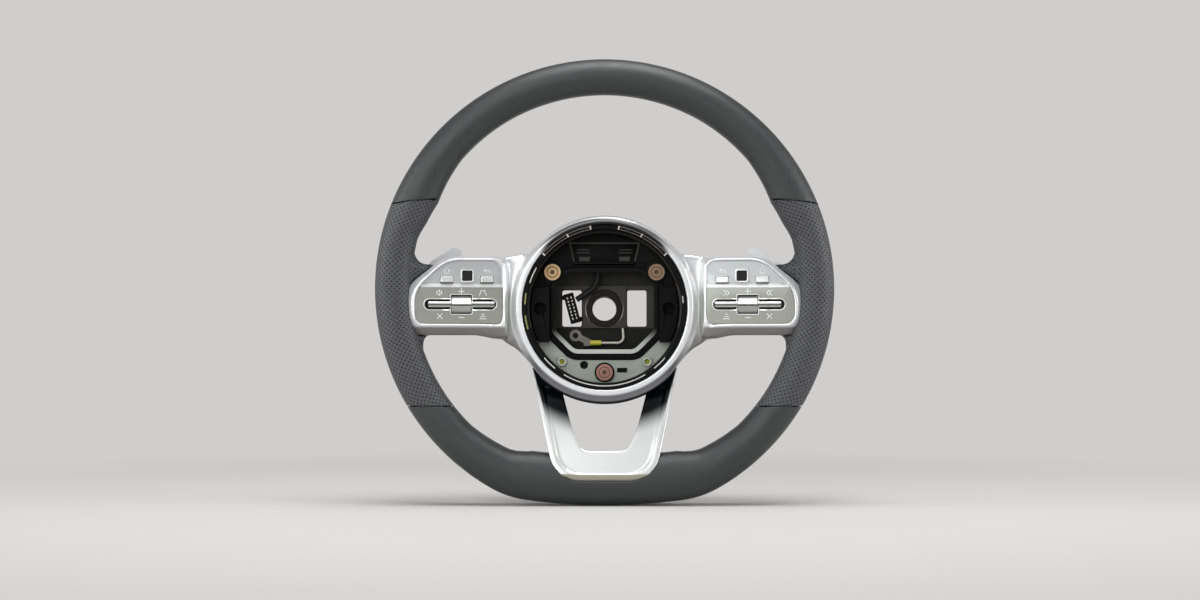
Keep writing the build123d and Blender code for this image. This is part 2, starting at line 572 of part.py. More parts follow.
def hub_casting():
    """The die-cast hub: a dish with a flange, side spokes, legs, bolt posts and windows."""
    bore = BOSS_RADIUS + GAP
    body = turned(
        (bore, FLOOR_FRONT), (FLOOR_RADIUS, FLOOR_FRONT), (FLOOR_RADIUS, STEP_FRONT),
        (FLANGE_INNER, STEP_FRONT), (FLANGE_INNER, SEAT),
        (FLANGE_OUTER, SEAT), (FLANGE_OUTER, SEAT + FLANGE_THICKNESS),
        (FLANGE_INNER + DISH_WALL, SEAT + FLANGE_THICKNESS), (FLANGE_INNER + DISH_WALL, STEP_FRONT + DISH_WALL),
        (FLOOR_RADIUS + DISH_WALL, STEP_FRONT + DISH_WALL), (FLOOR_RADIUS + DISH_WALL, FLOOR_BACK),
        (bore, FLOOR_BACK))
    block_middle = (BLOCK_TOP + BLOCK_BOTTOM) / 2
    block = Pos(0, block_middle) * Rectangle(BLOCK_WIDTH, BLOCK_TOP - BLOCK_BOTTOM)
    body += prism(block, FLOOR_FRONT, BLOCK_FRONT)
    body -= disc(0, 0, bore, FLOOR_BACK, BLOCK_FRONT)
    hollow = turned((0, FLOOR_FRONT), (FLOOR_RADIUS, FLOOR_FRONT), (FLOOR_RADIUS, STEP_FRONT),
                    (FLANGE_INNER, STEP_FRONT), (FLANGE_INNER, SEAT), (0, SEAT))
    body += both_sides(casting_bar() + casting_leg()) - hollow
    gap = Pos(WINDOW_X, (WINDOW_TOP + WINDOW_BOTTOM) / 2) * RectangleRounded(
        WINDOW_WIDTH, WINDOW_TOP - WINDOW_BOTTOM, WINDOW_CORNER)
    body -= both_sides(prism(gap, FLOOR_BACK, FLOOR_FRONT))
    for x, z in bolt_places():
        body += disc(x, z, POST_RADIUS, PLATE_BACK + SHANK_DEPTH + DISH_WALL / 2, PLATE_BACK)
        body -= disc(x, z, SHANK_RADIUS + GAP, PLATE_BACK + SHANK_DEPTH + GAP, PLATE_BACK)
    for x, z in cover_posts():
        body += disc(x, z, COVER_POST_RADIUS, BOWL_END_Y - BOWL_WALL, FLOOR_FRONT)
        body -= disc(x, z, COVER_SCREW_RADIUS + GAP, BOWL_END_Y - BOWL_WALL,
                     BOWL_END_Y - BOWL_WALL - COVER_SCREW_LENGTH)
    return body - rim_ring(0)


def column_boss():
    """The steel sleeve with the column's bore, held by the hub casting."""
    return turned(
        (BORE_RADIUS, BOSS_FRONT), (BOSS_RADIUS, BOSS_FRONT), (BOSS_RADIUS, BOSS_BACK), (BORE_RADIUS, BOSS_BACK))


# The bezel and what stands in its well

def ring_skirt(grow=0.0):
    """The ring's outer form: a drum with a bevelled front edge."""
    shoulder = RING_FRONT + RING_OUTER - RING_FACE
    return turned(
        (0, RING_BACK), (RING_OUTER + grow, RING_BACK), (RING_OUTER + grow, shoulder),
        (RING_FACE + grow, RING_FRONT), (0, RING_FRONT))


def collar_outline(inset=0.0):
    """Fairing between the ring and the left spoke frame."""
    top = SPOKE_Z + FRAME_TOP
    low = SPOKE_Z + FRAME_BOTTOM
    left, well = COLLAR_OUTER_X, COLLAR_FOOT_X
    edges = [
        Polyline((left, low), (left, top), (-RING_INNER, COLLAR_TOP_Z), (well, COLLAR_TOP_Z),
                 (well, COLLAR_FOOT_Z)),
        ThreePointArc((well, COLLAR_FOOT_Z), (COLLAR_BEND_X, COLLAR_BEND_Z), (left, low)),
    ]
    outline = make_face(Wire(edges[0].edges() + edges[1].edges()))
    return offset(outline, amount=-inset) if inset else outline


def front_bezel():
    """The ring, both collars and both spoke frames, moulded in one piece."""
    collar = prism(collar_outline(), RING_BACK, COLLAR_FRONT)
    collar -= prism(collar_outline(RING_WALL), RING_BACK, COLLAR_FRONT + RING_WALL)
    side = collar + frame_body()
    side -= on_spoke(panel_outline(GAP), -PANEL_THICKNESS, FRAME_PROUD)
    side -= on_spoke(hidden_outline(LEDGE), -FRAME_DEPTH, -PANEL_THICKNESS)
    return ring_skirt() + both_sides(side) - disc(0, 0, RING_INNER, RING_BACK, RING_FRONT)


def well_liner():
    """The black wall inside the ring, with a row of clip slots round the top."""
    outer = RING_INNER - GAP
    inner = outer - LINER_WALL
    wall = turned((inner, SEAT), (outer, SEAT), (outer, LINER_FRONT), (inner, LINER_FRONT))
    slot_depth = LINER_WALL / 2
    for index in range(CLIP_COUNT):
        for side in (1, -1):
            middle = 90 + side * (CLIP_FIRST + index * CLIP_STEP - CLIP_SPAN / 2)
            outline = make_face(sector(inner, inner + slot_depth, CLIP_SPAN))
            pocket = Rot(0, 0, middle - CLIP_SPAN / 2) * outline
            wall -= prism(pocket, CLIP_FRONT + CLIP_HEIGHT, CLIP_FRONT)
    return wall


def sector(inner, outer, span):
    """The outline of a part of a ring, anticlockwise from the x axis."""
    end = (cos(radians(span)), sin(radians(span)))
    return Wire([
        *CenterArc((0, 0), outer, 0, span).edges(),
        *CenterArc((0, 0), inner, 0, span).edges(),
        *Line((inner, 0), (outer, 0)).edges(),
        *Line((inner * end[0], inner * end[1]), (outer * end[0], outer * end[1])).edges(),
    ])


def octagon(grow):
    """The opening in the middle of the carrier plate, grown outwards."""
    half, top, bottom = OCT_HALF, OCT_TOP, OCT_BOTTOM
    corners = (
        (half, top - OCT_CHAMFER_TOP), (half - OCT_CHAMFER_TOP, top), (OCT_CHAMFER_TOP - half, top),
        (-half, top - OCT_CHAMFER_TOP), (-half, bottom + OCT_CHAMFER_BOTTOM),
        (OCT_CHAMFER_BOTTOM - half, bottom), (half - OCT_CHAMFER_BOTTOM, bottom),
        (half, bottom + OCT_CHAMFER_BOTTOM),
    )
    outline = rounded(corners, [OCT_CORNER_RADIUS] * len(corners))
    return offset(outline, amount=grow) if grow else outline


def carrier_plate():
    """The grey plate in the well: octagon with a raised lip, tray, holes and slots."""
    plate = disc(0, 0, PLATE_RADIUS, PLATE_BACK, PLATE_FRONT)
    plate += prism(octagon(OCT_LIP_WIDTH), PLATE_FRONT, PLATE_FRONT - OCT_LIP_HEIGHT)
    plate -= prism(octagon(0), PLATE_BACK, PLATE_FRONT - OCT_LIP_HEIGHT)
    tray = make_face(Polyline(
        (-TRAY_TOP_HALF, TRAY_TOP), (TRAY_TOP_HALF, TRAY_TOP), (TRAY_BOTTOM_HALF, TRAY_BOTTOM),
        (-TRAY_BOTTOM_HALF, TRAY_BOTTOM), close=True))
    plate -= prism(tray, PLATE_FRONT + TRAY_DEPTH, PLATE_FRONT)
    for x, z in bolt_places():
        plate -= disc(x, z, GROMMET_RADIUS + GAP, PLATE_BACK, PLATE_FRONT)
        plate -= disc(x, z, GROMMET_RADIUS + GROMMET_LIP + GAP, PLATE_FRONT, PLATE_FRONT - OCT_LIP_HEIGHT)
    for x in (-PEG_X, PEG_X):
        plate -= disc(x, PEG_Z, PEG_RADIUS + GAP, PLATE_BACK, PLATE_FRONT)
    plate -= disc(DRAIN_X, DRAIN_Z, DRAIN_RADIUS, PLATE_BACK, PLATE_FRONT)
    notch = Pos(NOTCH_X, NOTCH_Z) * Rectangle(NOTCH_WIDTH, NOTCH_HEIGHT)
    return plate - prism(notch, PLATE_BACK, PLATE_FRONT)


def contact_block():
    """The black block beside the octagon on the left, its outer side round."""
    tall = SIDE_BLOCK_TOP - SIDE_BLOCK_BOTTOM
    low = (SIDE_BLOCK_TOP + SIDE_BLOCK_BOTTOM) / 2
    outline = (Pos(-SIDE_BLOCK_INNER - PLATE_RADIUS / 2, low) * Rectangle(PLATE_RADIUS, tall)) & Circle(
        PLATE_RADIUS)
    front = PLATE_FRONT - SIDE_BLOCK_HEIGHT
    block = prism(outline, PLATE_FRONT, front)
    block -= disc(-SIDE_BLOCK_HOLE_X, SIDE_BLOCK_HOLE_Z, SIDE_BLOCK_HOLE, PLATE_FRONT, front)
    return block


def bolted_pieces():
    """Shoulder bolts and the grommets that they hold the plate by."""
    bolts, grommets = [], []
    head_back = PLATE_FRONT - GROMMET_LIP_HEIGHT
    for x, z in bolt_places():
        bolt = disc(x, z, HEAD_RADIUS, head_back, head_back - HEAD_HEIGHT)
        socket = Pos(x, z) * RegularPolygon(SOCKET_RADIUS, HEX_SIDES)
        bolt -= prism(socket, head_back - HEAD_HEIGHT + SOCKET_DEPTH, head_back - HEAD_HEIGHT)
        groove = Pos(x, z) * (Circle(HEAD_GROOVE_OUTER) - Circle(HEAD_GROOVE_INNER))
        bolt -= prism(groove, head_back - HEAD_HEIGHT + HEAD_GROOVE_DEPTH, head_back - HEAD_HEIGHT)
        bolts.append(bolt + disc(x, z, SHANK_RADIUS, PLATE_BACK + SHANK_DEPTH, head_back))
        grommet = disc(x, z, GROMMET_RADIUS, PLATE_BACK, PLATE_FRONT)
        grommet += disc(x, z, GROMMET_RADIUS + GROMMET_LIP, PLATE_FRONT, head_back)
        grommets.append(grommet - disc(x, z, SHANK_RADIUS + GAP, PLATE_BACK, head_back))
    return {"shoulder_bolts": Compound(bolts), "bolt_grommets": Compound(grommets)}


def guide_pegs():
    """Two hollow pegs pressed into the lower field of the plate."""
    pegs = []
    for x in (-PEG_X, PEG_X):
        peg = disc(x, PEG_Z, PEG_RADIUS, PLATE_BACK, PLATE_FRONT - PEG_HEIGHT)
        pegs.append(peg - disc(x, PEG_Z, PEG_HOLE, PLATE_BACK, PLATE_FRONT - PEG_HEIGHT))
    return Compound(pegs)


# Wiring

def tube(route, radius):
    """A wire along straight runs joined by the largest tangent arcs that they leave room for."""
    points = [Vector(*point) for point in route]
    radii = []
    for before, here, after in zip(points, points[1:], points[2:]):
        turn = (here - before).get_angle(after - here)
        run = min((here - before).length, (after - here).length)
        radii.append(WIRE_BEND * run / tan(radians(turn / 2)))
    path = FilletPolyline(*points, radius=radii)
    section = Plane(origin=path @ 0, z_dir=path % 0) * Circle(radius)
    return sweep(section, path=path)


def wiring():
    """The earth lead with its ring terminal and crimp, and the harness with its plug."""
    crimp_end = Vector(*WIRE_ROUTE[0])
    crimp_start = Vector(CRIMP_LEFT, crimp_end.Y, crimp_end.Z)
    crimp = extrude(Plane(origin=crimp_start, z_dir=(1, 0, 0)) * Circle(CRIMP_RADIUS),
                    amount=crimp_end.X - CRIMP_LEFT)
    front = FLOOR_FRONT - TERMINAL_THICKNESS
    tab = Vector(TERMINAL_X - CRIMP_LEFT, TERMINAL_Z - crimp_end.Z)
    blade = Pos((TERMINAL_X + CRIMP_LEFT) / 2, (TERMINAL_Z + crimp_end.Z) / 2) * Rot(
        0, 0, degrees(atan2(tab.Y, tab.X))) * Rectangle(tab.length, TAB_WIDTH)
    eye = Pos(TERMINAL_X, TERMINAL_Z) * Circle(TERMINAL_RADIUS)
    hole = Pos(TERMINAL_X, TERMINAL_Z) * Circle(TERMINAL_HOLE)
    terminal = prism(eye + blade - hole, FLOOR_FRONT, front)
    neck = Pos(CRIMP_LEFT - TAB_WIDTH / 2, crimp_end.Z) * Rectangle(TAB_WIDTH, TAB_WIDTH)
    terminal += prism(neck, FLOOR_FRONT, crimp_end.Y - TERMINAL_THICKNESS)
    body = Rectangle(PLUG_WIDTH, PLUG_HEIGHT)
    ear = Pos(-PLUG_EARS_WIDTH / 4, PLUG_EAR_Z) * Rectangle(PLUG_EARS_WIDTH / 2, PLUG_EAR_HEIGHT)
    place = Pos(PLUG_X, PLUG_Z) * Rot(0, 0, PLUG_TILT)
    plug = prism(place * body, PLUG_BACK, PLUG_FRONT)
    ears = ear + Rot(0, 0, 180) * ear
    plug += prism(Pos(PLUG_X, PLUG_Z) * ears, FLOOR_FRONT, FLOOR_FRONT - PLUG_EAR_THICKNESS)
    harness = tube(HARNESS_ROUTE, HARNESS_RADIUS)
    return {
        "ring_terminal": terminal,
        "crimp_sleeve": crimp,
        "earth_wire": tube(WIRE_ROUTE, WIRE_RADIUS),
        "harness": harness - plug,
        "harness_plug": plug,
    }


# The lower spoke trim

def trim_outline(points, radii, grow=0.0):
    """A closed outline from a left half that runs down to the middle, and its mirror image."""
    right = [(-x, z) for x, z in reversed(points)]
    start = rounded([*points, *right], (0, *radii, *reversed(radii), 0))
    return offset(start, amount=grow) if grow else start


def trim_side(front, back):
    """The curved side view of the trim, moved back by two depths."""
    top, middle, foot = [
        (TRIM_TOP_Y, TRIM_TOP_Z), (TRIM_MIDDLE_Y, TRIM_MIDDLE_Z), (TRIM_FOOT_Y, TRIM_FOOT_Z)]
    near = ThreePointArc(*[(y + front, z) for y, z in (top, middle, foot)])
    far = ThreePointArc(*[(y + back, z) for y, z in (top, middle, foot)])
    face = make_face(Wire([
        *near.edges(), *far.edges(), *Line(near @ 0, far @ 0).edges(), *Line(near @ 1, far @ 1).edges()]))
    return side_profile(face, RING_OUTER)


def lower_spoke_trim():
    """The silver trim: two arms from under the ring to a bar across the flat of the rim."""
    opening = trim_outline(TRIM_OPENING, TRIM_OPENING_RADII)
    whole = trim_outline(TRIM_OUTER, TRIM_OUTER_RADII)
    face = trim_outline(TRIM_OUTER, TRIM_OUTER_RADII, -TRIM_LIP)
    trim = prism(whole - opening, RING_BACK, RIM_PLANE - RIM_DEPTH) & trim_side(0, TRIM_THICKNESS)
    return trim - (prism(face, RING_BACK, RIM_PLANE - RIM_DEPTH) & trim_side(-TRIM_THICKNESS, TRIM_DISH))


def trim_room():
    """The pocket that the trim lies in on the rim."""
    view = trim_outline(TRIM_OUTER, TRIM_OUTER_RADII, GAP)
    return prism(view, RING_BACK, RIM_PLANE - RIM_DEPTH) & trim_side(-RIM_DEPTH, TRIM_THICKNESS + GAP)


# The rear cover

def rear_cover():
    """The black back shell: bowl, side arms and legs, moulded in one piece."""
    wall = BOWL_WALL
    floor = BOWL_END_Y - wall
    inside = turned(
        (0, SEAT), (RING_OUTER - wall, SEAT), (RING_OUTER - wall, BOWL_WAIST_Y),
        (BOWL_BACK_RADIUS - wall, floor), (0, floor))
    bowl = turned(
        (0, SEAT), (RING_OUTER, SEAT), (RING_OUTER, BOWL_WAIST_Y), (BOWL_BACK_RADIUS, BOWL_END_Y),
        (0, BOWL_END_Y))
    bowl -= inside + disc(0, 0, BOWL_HOLE_RADIUS, BOWL_END_Y, SEAT)
    for x, z in cover_posts():
        bowl += disc(x, z, COVER_POST_RADIUS, BOWL_END_Y, BOWL_END_Y - wall)
        bowl -= disc(x, z, COVER_SCREW_RADIUS + GAP, BOWL_END_Y, BOWL_END_Y - wall)
    cover = bowl + both_sides(cover_arm() - inside) + (both_sides(cover_leg()) - inside)
    return cover - both_sides(casting_bar(2 * GAP) + casting_leg(2 * GAP))


def cover_arm():
    """The tray behind the left spoke, open to the front round the casting's bar."""
    back = -FRAME_DEPTH - GAP - ARM_DEPTH
    front = -FRAME_DEPTH - GAP
    hub = SPOKE.to_local_coords(Vector(-FLANGE_OUTER, SPOKE_Y, SPOKE_Z)).X
    low, high = FRAME_BOTTOM + ARM_INSET, FRAME_TOP - ARM_INSET
    middle = (low + high) / 2
    tray = Pos((ARM_OUTER_U + hub) / 2, middle) * RectangleRounded(
        hub - ARM_OUTER_U, high - low, FRAME_CORNER_RADIUS / 2)
    hollow = Pos((ARM_OUTER_U + hub) / 2, middle) * RectangleRounded(
        hub - ARM_OUTER_U - 2 * ARM_WALL, high - low - 2 * ARM_WALL, FRAME_CORNER_RADIUS / 2 - ARM_WALL)
    arm = on_spoke(tray, back, front) - on_spoke(hollow, back + ARM_WALL, front)
    wide = FRAME_TOP * 3
    keep_out = Pos(COLLAR_OUTER_X - GAP + wide / 2, 0) * Rectangle(wide, wide)
    return arm - prism(keep_out, SEAT, RING_FRONT)


def cover_leg():
    """The leg behind the left arm of the lower trim, round the casting's leg."""
    view = trim_outline(TRIM_OUTER, TRIM_OUTER_RADII, -LEG_COVER_INSET) - trim_outline(
        TRIM_OPENING, TRIM_OPENING_RADII, LEG_COVER_INSET)
    tall = LEG_TOP_Z - LEG_COVER_FOOT_Z
    left = Pos(-RING_OUTER / 2, (LEG_TOP_Z + LEG_COVER_FOOT_Z) / 2) * Rectangle(RING_OUTER, tall)
    leg = prism(view & left, FLOOR_BACK, RIM_PLANE - RIM_DEPTH)
    leg &= trim_side(TRIM_THICKNESS + GAP, LEG_COVER_BACK)
    return leg - prism(Circle(RING_OUTER + GAP), SEAT, RIM_PLANE - RIM_DEPTH)


def cover_screws():
    screws = []
    for x, z in cover_posts():
        head = Pos(x, z) * RegularPolygon(COVER_SCREW_HEAD, HEX_SIDES)
        screw = prism(head, BOWL_END_Y + COVER_SCREW_HEAD_HEIGHT, BOWL_END_Y)
        end = BOWL_END_Y - COVER_SCREW_LENGTH
        screws.append(screw + disc(x, z, COVER_SCREW_RADIUS, BOWL_END_Y, end))
    return Compound(screws)


# A side spoke's switches, modelled on the left

HOUSING_BACK = -PANEL_THICKNESS - HOUSING_DEPTH
BOARD_BACK = HOUSING_BACK + HOUSING_WALL
ROLLER_OPEN = 2 * (ROLLER_RADIUS + KEY_GAP)


def window(u, v, width, height):
    return Pos(u, v) * Rectangle(width + 2 * KEY_GAP, height + 2 * KEY_GAP)


def switch_panel():
    """The silver panel: two fields with a ridge between, a slot, and windows for the keys."""
    panel = on_spoke(panel_outline(), -PANEL_THICKNESS, 0)
    over = 2 * PANEL_TOP
    field = make_face(Polyline(
        (RIDGE_LOW, 0), (RIDGE_HIGH, -PANEL_STEP), (over, -PANEL_STEP), (over, PANEL_STEP),
        (RIDGE_LOW, PANEL_STEP), close=True))
    panel -= along_spoke(field, 2 * PANEL_LEFT, 2 * (PANEL_RIGHT - PANEL_LEFT))
    frame = RectangleRounded(PAD_FRAME, PAD_FRAME, PAD_RADIUS)
    panel += on_spoke(Pos(PAD_U, PAD_V) * frame, -PANEL_STEP, 0)
    slot = Pos((SLOT_LEFT + SLOT_RIGHT) / 2, SLOT_V) * SlotOverall(SLOT_RIGHT - SLOT_LEFT, SLOT_HEIGHT)
    openings = slot + Pos(ROLLER_U, SLOT_V) * Rectangle(ROLLER_WIDTH + 2 * KEY_GAP, ROLLER_OPEN)
    for u in (KEY_OUTER_U, KEY_INNER_U):
        openings += window(u, KEY_V, KEY_WIDTH, KEY_HEIGHT)
    openings += window(PAD_U, PAD_V, PAD_SIZE, PAD_SIZE)
    return panel - on_spoke(openings, -PANEL_THICKNESS, 0)


def shaft_ends():
    outer = BAR_OUTER_U - BAR_LENGTH / 2 - KEY_GAP
    inner = BAR_INNER_U + BAR_LENGTH / 2 + KEY_GAP
    return outer, inner


def switch_housing():
    """The box behind the panel, with two bearings for the keys' shaft."""
    inset = LEDGE + HOUSING_INSET
    box = on_spoke(hidden_outline(inset), HOUSING_BACK, -PANEL_THICKNESS)
    box -= on_spoke(hidden_outline(inset + HOUSING_WALL), BOARD_BACK, -PANEL_THICKNESS)
    outer, inner = shaft_ends()
    block = Pos(SLOT_V, (BOARD_BACK - PANEL_THICKNESS) / 2) * Rectangle(
        4 * SHAFT_RADIUS, -PANEL_THICKNESS - BOARD_BACK)
    bearing = block - Pos(SLOT_V, SHAFT_W) * Circle(SHAFT_RADIUS + RUN)
    box += along_spoke(bearing, outer - BEARING_LENGTH, BEARING_LENGTH)
    return box + along_spoke(bearing, inner, BEARING_LENGTH)


def circuit_board():
    inset = LEDGE + HOUSING_INSET + HOUSING_WALL + GAP
    board = on_spoke(hidden_outline(inset), BOARD_BACK, BOARD_BACK + BOARD_THICKNESS)
    outer, inner = shaft_ends()
    for start in (outer - BEARING_LENGTH, inner):
        room = Pos(start + BEARING_LENGTH / 2, SLOT_V) * Rectangle(
            BEARING_LENGTH + 2 * GAP, 4 * SHAFT_RADIUS + 2 * GAP)
        board -= on_spoke(room, BOARD_BACK, BOARD_BACK + BOARD_THICKNESS)
    return board


def key_shaft():
    outer, inner = shaft_ends()
    length = inner - outer + 2 * BEARING_LENGTH
    return along_spoke(Pos(SLOT_V, SHAFT_W) * Circle(SHAFT_RADIUS), outer - BEARING_LENGTH, length)


def rocker_bar(u):
    """A bar that tips up and down on the shaft."""
    half, tail = BAR_HEIGHT / 2, SHAFT_W - BAR_TAIL
    profile = rounded(
        ((SLOT_V - half, tail), (SLOT_V + half, tail), (SLOT_V + half, BAR_PROUD), (SLOT_V - half, BAR_PROUD)),
        (half / 2, half / 2, half / 2, half / 2))
    profile -= Pos(SLOT_V, SHAFT_W) * Circle(SHAFT_RADIUS + RUN)
    return along_spoke(profile, u - BAR_LENGTH / 2, BAR_LENGTH)


def roller():
    """The thumb roller: round behind, with two facets that meet in a ridge."""
    reach = 2 * ROLLER_RADIUS
    x = ROLLER_RADIUS * cos(radians(ROLLER_FACET))
    y = ROLLER_RADIUS * sin(radians(ROLLER_FACET))
    facets = make_face(Polyline(
        (-reach, -ROLLER_FLAT), (reach, -ROLLER_FLAT), (reach, y), (x, y), (0, ROLLER_RADIUS), (-x, y),
        (-reach, y), close=True))
    profile = (Circle(ROLLER_RADIUS) & facets) - Circle(SHAFT_RADIUS + RUN)
    return along_spoke(Pos(SLOT_V, SHAFT_W) * profile, ROLLER_U - ROLLER_WIDTH / 2, ROLLER_WIDTH)


def push_key(u):
    """A wedge-shaped key with a foot behind the panel and a stem."""
    low, high = KEY_V - KEY_HEIGHT / 2, KEY_V + KEY_HEIGHT / 2
    foot = -PANEL_THICKNESS - GAP
    wedge = make_face(Polyline(
        (low, foot), (high, foot), (high, KEY_RISE - PANEL_STEP), (low, KEY_PROUD - PANEL_STEP), close=True))
    key = along_spoke(wedge, u - KEY_WIDTH / 2, KEY_WIDTH)
    return key + key_foot(u, KEY_V, KEY_WIDTH, KEY_HEIGHT)


def key_foot(u, v, width, height):
    """The flange that keeps a key behind its window, and the stem over its contact."""
    foot = -PANEL_THICKNESS - GAP
    flange = Pos(u, v) * Rectangle(width + 4 * KEY_GAP, height + 4 * KEY_GAP)
    stem = Pos(u, v) * Rectangle(STEM_SIZE, STEM_SIZE)
    return on_spoke(flange, foot - 2 * KEY_GAP, foot) + on_spoke(stem, -KEY_FOOT, foot)


def touch_pad():
    cap = Pos(PAD_U, PAD_V) * RectangleRounded(PAD_SIZE, PAD_SIZE, PAD_RADIUS)
    body = on_spoke(cap, -PANEL_THICKNESS - GAP, -PAD_SUNK)
    return body + key_foot(PAD_U, PAD_V, PAD_SIZE, PAD_SIZE)


# A shift paddle, modelled on the left

def paddle():
    """The blade behind the spoke, its arm and the knuckle that it turns on."""
    front = PADDLE_W + PADDLE_THICKNESS / 2
    back = PADDLE_W - PADDLE_THICKNESS / 2
    points = [(u * SHARE, v) for u, v in PADDLE_OUTLINE]
    blade = on_spoke(rounded(points, PADDLE_RADII), back, front)
    arm_start = points[PADDLE_ARM_CORNER][0] - PADDLE_KNUCKLE_RADIUS
    arm = Pos((arm_start + PADDLE_PIVOT_U) / 2, 0) * Rectangle(
        PADDLE_PIVOT_U - arm_start, 2 * PADDLE_ARM_HALF)
    knuckle = upright(PADDLE_KNUCKLE_RADIUS, -PADDLE_KNUCKLE_HALF, PADDLE_KNUCKLE_HALF)
    hole = upright(PADDLE_PIN_RADIUS + RUN, -PADDLE_KNUCKLE_HALF, PADDLE_KNUCKLE_HALF)
    return blade + on_spoke(arm, back, front) + knuckle - hole


def upright(radius, low, high):
    """A cylinder on the paddle's pivot axis."""
    base = SPOKE.from_local_coords(Vector(PADDLE_PIVOT_U, low, PADDLE_W))
    return extrude(Plane(origin=base, z_dir=(0, 0, 1)) * Circle(radius), amount=high - low)


def bracket_reach():
    return PADDLE_KNUCKLE_HALF + KEY_GAP + BRACKET_LUG


def paddle_bracket():
    """The fork on the back of the spoke's tray that holds the paddle's pin."""
    seat = -FRAME_DEPTH - GAP - ARM_DEPTH
    end = bracket_reach()
    base = Pos(PADDLE_PIVOT_U, 0) * Rectangle(2 * BRACKET_HALF_WIDTH, 2 * end)
    fork = on_spoke(base, seat - BRACKET_BASE, seat)
    for side in (1, -1):
        lug = Pos(PADDLE_PIVOT_U, side * (end - BRACKET_LUG / 2)) * Rectangle(
            2 * BRACKET_HALF_WIDTH, BRACKET_LUG)
        fork += on_spoke(lug, PADDLE_W - PADDLE_KNUCKLE_RADIUS, seat - BRACKET_BASE)
    return fork - upright(PADDLE_PIN_RADIUS + RUN, -end, end)


def side_pieces():
    """Every piece of a side spoke, on the left and mirrored to the right."""
    left = {
        "switch_panel": switch_panel(),
        "switch_housing": switch_housing(),
        "circuit_board": circuit_board(),
        "key_shaft": key_shaft(),
        "outer_rocker": rocker_bar(BAR_OUTER_U),
        "inner_rocker": rocker_bar(BAR_INNER_U),
        "roller": roller(),
        "outer_key": push_key(KEY_OUTER_U),
        "inner_key": push_key(KEY_INNER_U),
        "touch_pad": touch_pad(),
        "paddle": paddle(),
        "paddle_bracket": paddle_bracket(),
        "contact_block": contact_block(),
    }
    pieces = {}
    for name, part in left.items():
        pieces[f"left_{name}"] = part
        pieces[f"right_{name}"] = right_of(part)
    pin = upright(PADDLE_PIN_RADIUS, -bracket_reach(), bracket_reach())
    pieces["paddle_pins"] = Compound([pin, right_of(pin)])
    return pieces


def build():
    """Every piece by its name."""
    pieces = {
        "hub_casting": hub_casting(),
        "rim_core": rim_ring(0),
        "column_boss": column_boss(),
        "front_bezel": front_bezel(),
        "well_liner": well_liner(),
        "carrier_plate": carrier_plate(),
        "guide_pegs": guide_pegs(),
        "lower_spoke_trim": lower_spoke_trim() - ring_skirt(GAP),
        "rear_cover": rear_cover(),
        "rear_cover_screws": cover_screws(),
    }
    return {**pieces, **bolted_pieces(), **wiring(), **side_pieces(), **leather()}


if __name__ == "__main__":
    os.makedirs("parts", exist_ok=True)
    for name, shape in build().items():
        export_step(shape, f"parts/{name}.step")
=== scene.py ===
"""Dresses the car steering wheel: leather rim, silver mouldings, switches, open hub, rear shell."""

import logging
import math
from collections.abc import Callable, Iterator
from contextlib import contextmanager
from dataclasses import dataclass, replace
from enum import Enum
from functools import cache

import bpy
from mathutils import Matrix, Vector


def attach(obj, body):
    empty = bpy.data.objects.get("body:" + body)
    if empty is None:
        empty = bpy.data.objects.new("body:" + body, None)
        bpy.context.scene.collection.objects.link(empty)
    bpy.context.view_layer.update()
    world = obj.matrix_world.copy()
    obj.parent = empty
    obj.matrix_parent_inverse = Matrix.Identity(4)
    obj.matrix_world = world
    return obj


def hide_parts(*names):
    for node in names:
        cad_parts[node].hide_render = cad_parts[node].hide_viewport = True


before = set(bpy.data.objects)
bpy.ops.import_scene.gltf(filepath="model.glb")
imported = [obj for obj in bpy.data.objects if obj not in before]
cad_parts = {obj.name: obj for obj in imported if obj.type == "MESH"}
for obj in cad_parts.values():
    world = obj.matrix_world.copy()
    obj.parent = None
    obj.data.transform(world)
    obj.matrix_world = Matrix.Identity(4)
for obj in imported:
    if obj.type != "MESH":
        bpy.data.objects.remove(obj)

LOG = logging.getLogger("steering_wheel")
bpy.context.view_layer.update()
WHEEL = "wheel"
SAME_POINT = 1e-5
SHARP_ANGLE = math.radians(35.0)
WIDE_EASE = 0.001
FACING = 0.9
EDGE_SHARE = 0.3
ROUND_ANGLE = 60.0
Colour = tuple[float, float, float]
Place = tuple[float, float, float]
Flat = tuple[float, float]
Piece = bpy.types.Object
Socket = bpy.types.NodeSocket


class Side(Enum):
    """The two mirrored halves of the wheel, with the sign of their X."""

    LEFT = -1
    RIGHT = 1

    @property
    def label(self) -> str:
        """Name that starts the side's nodes."""
        return self.name.lower()


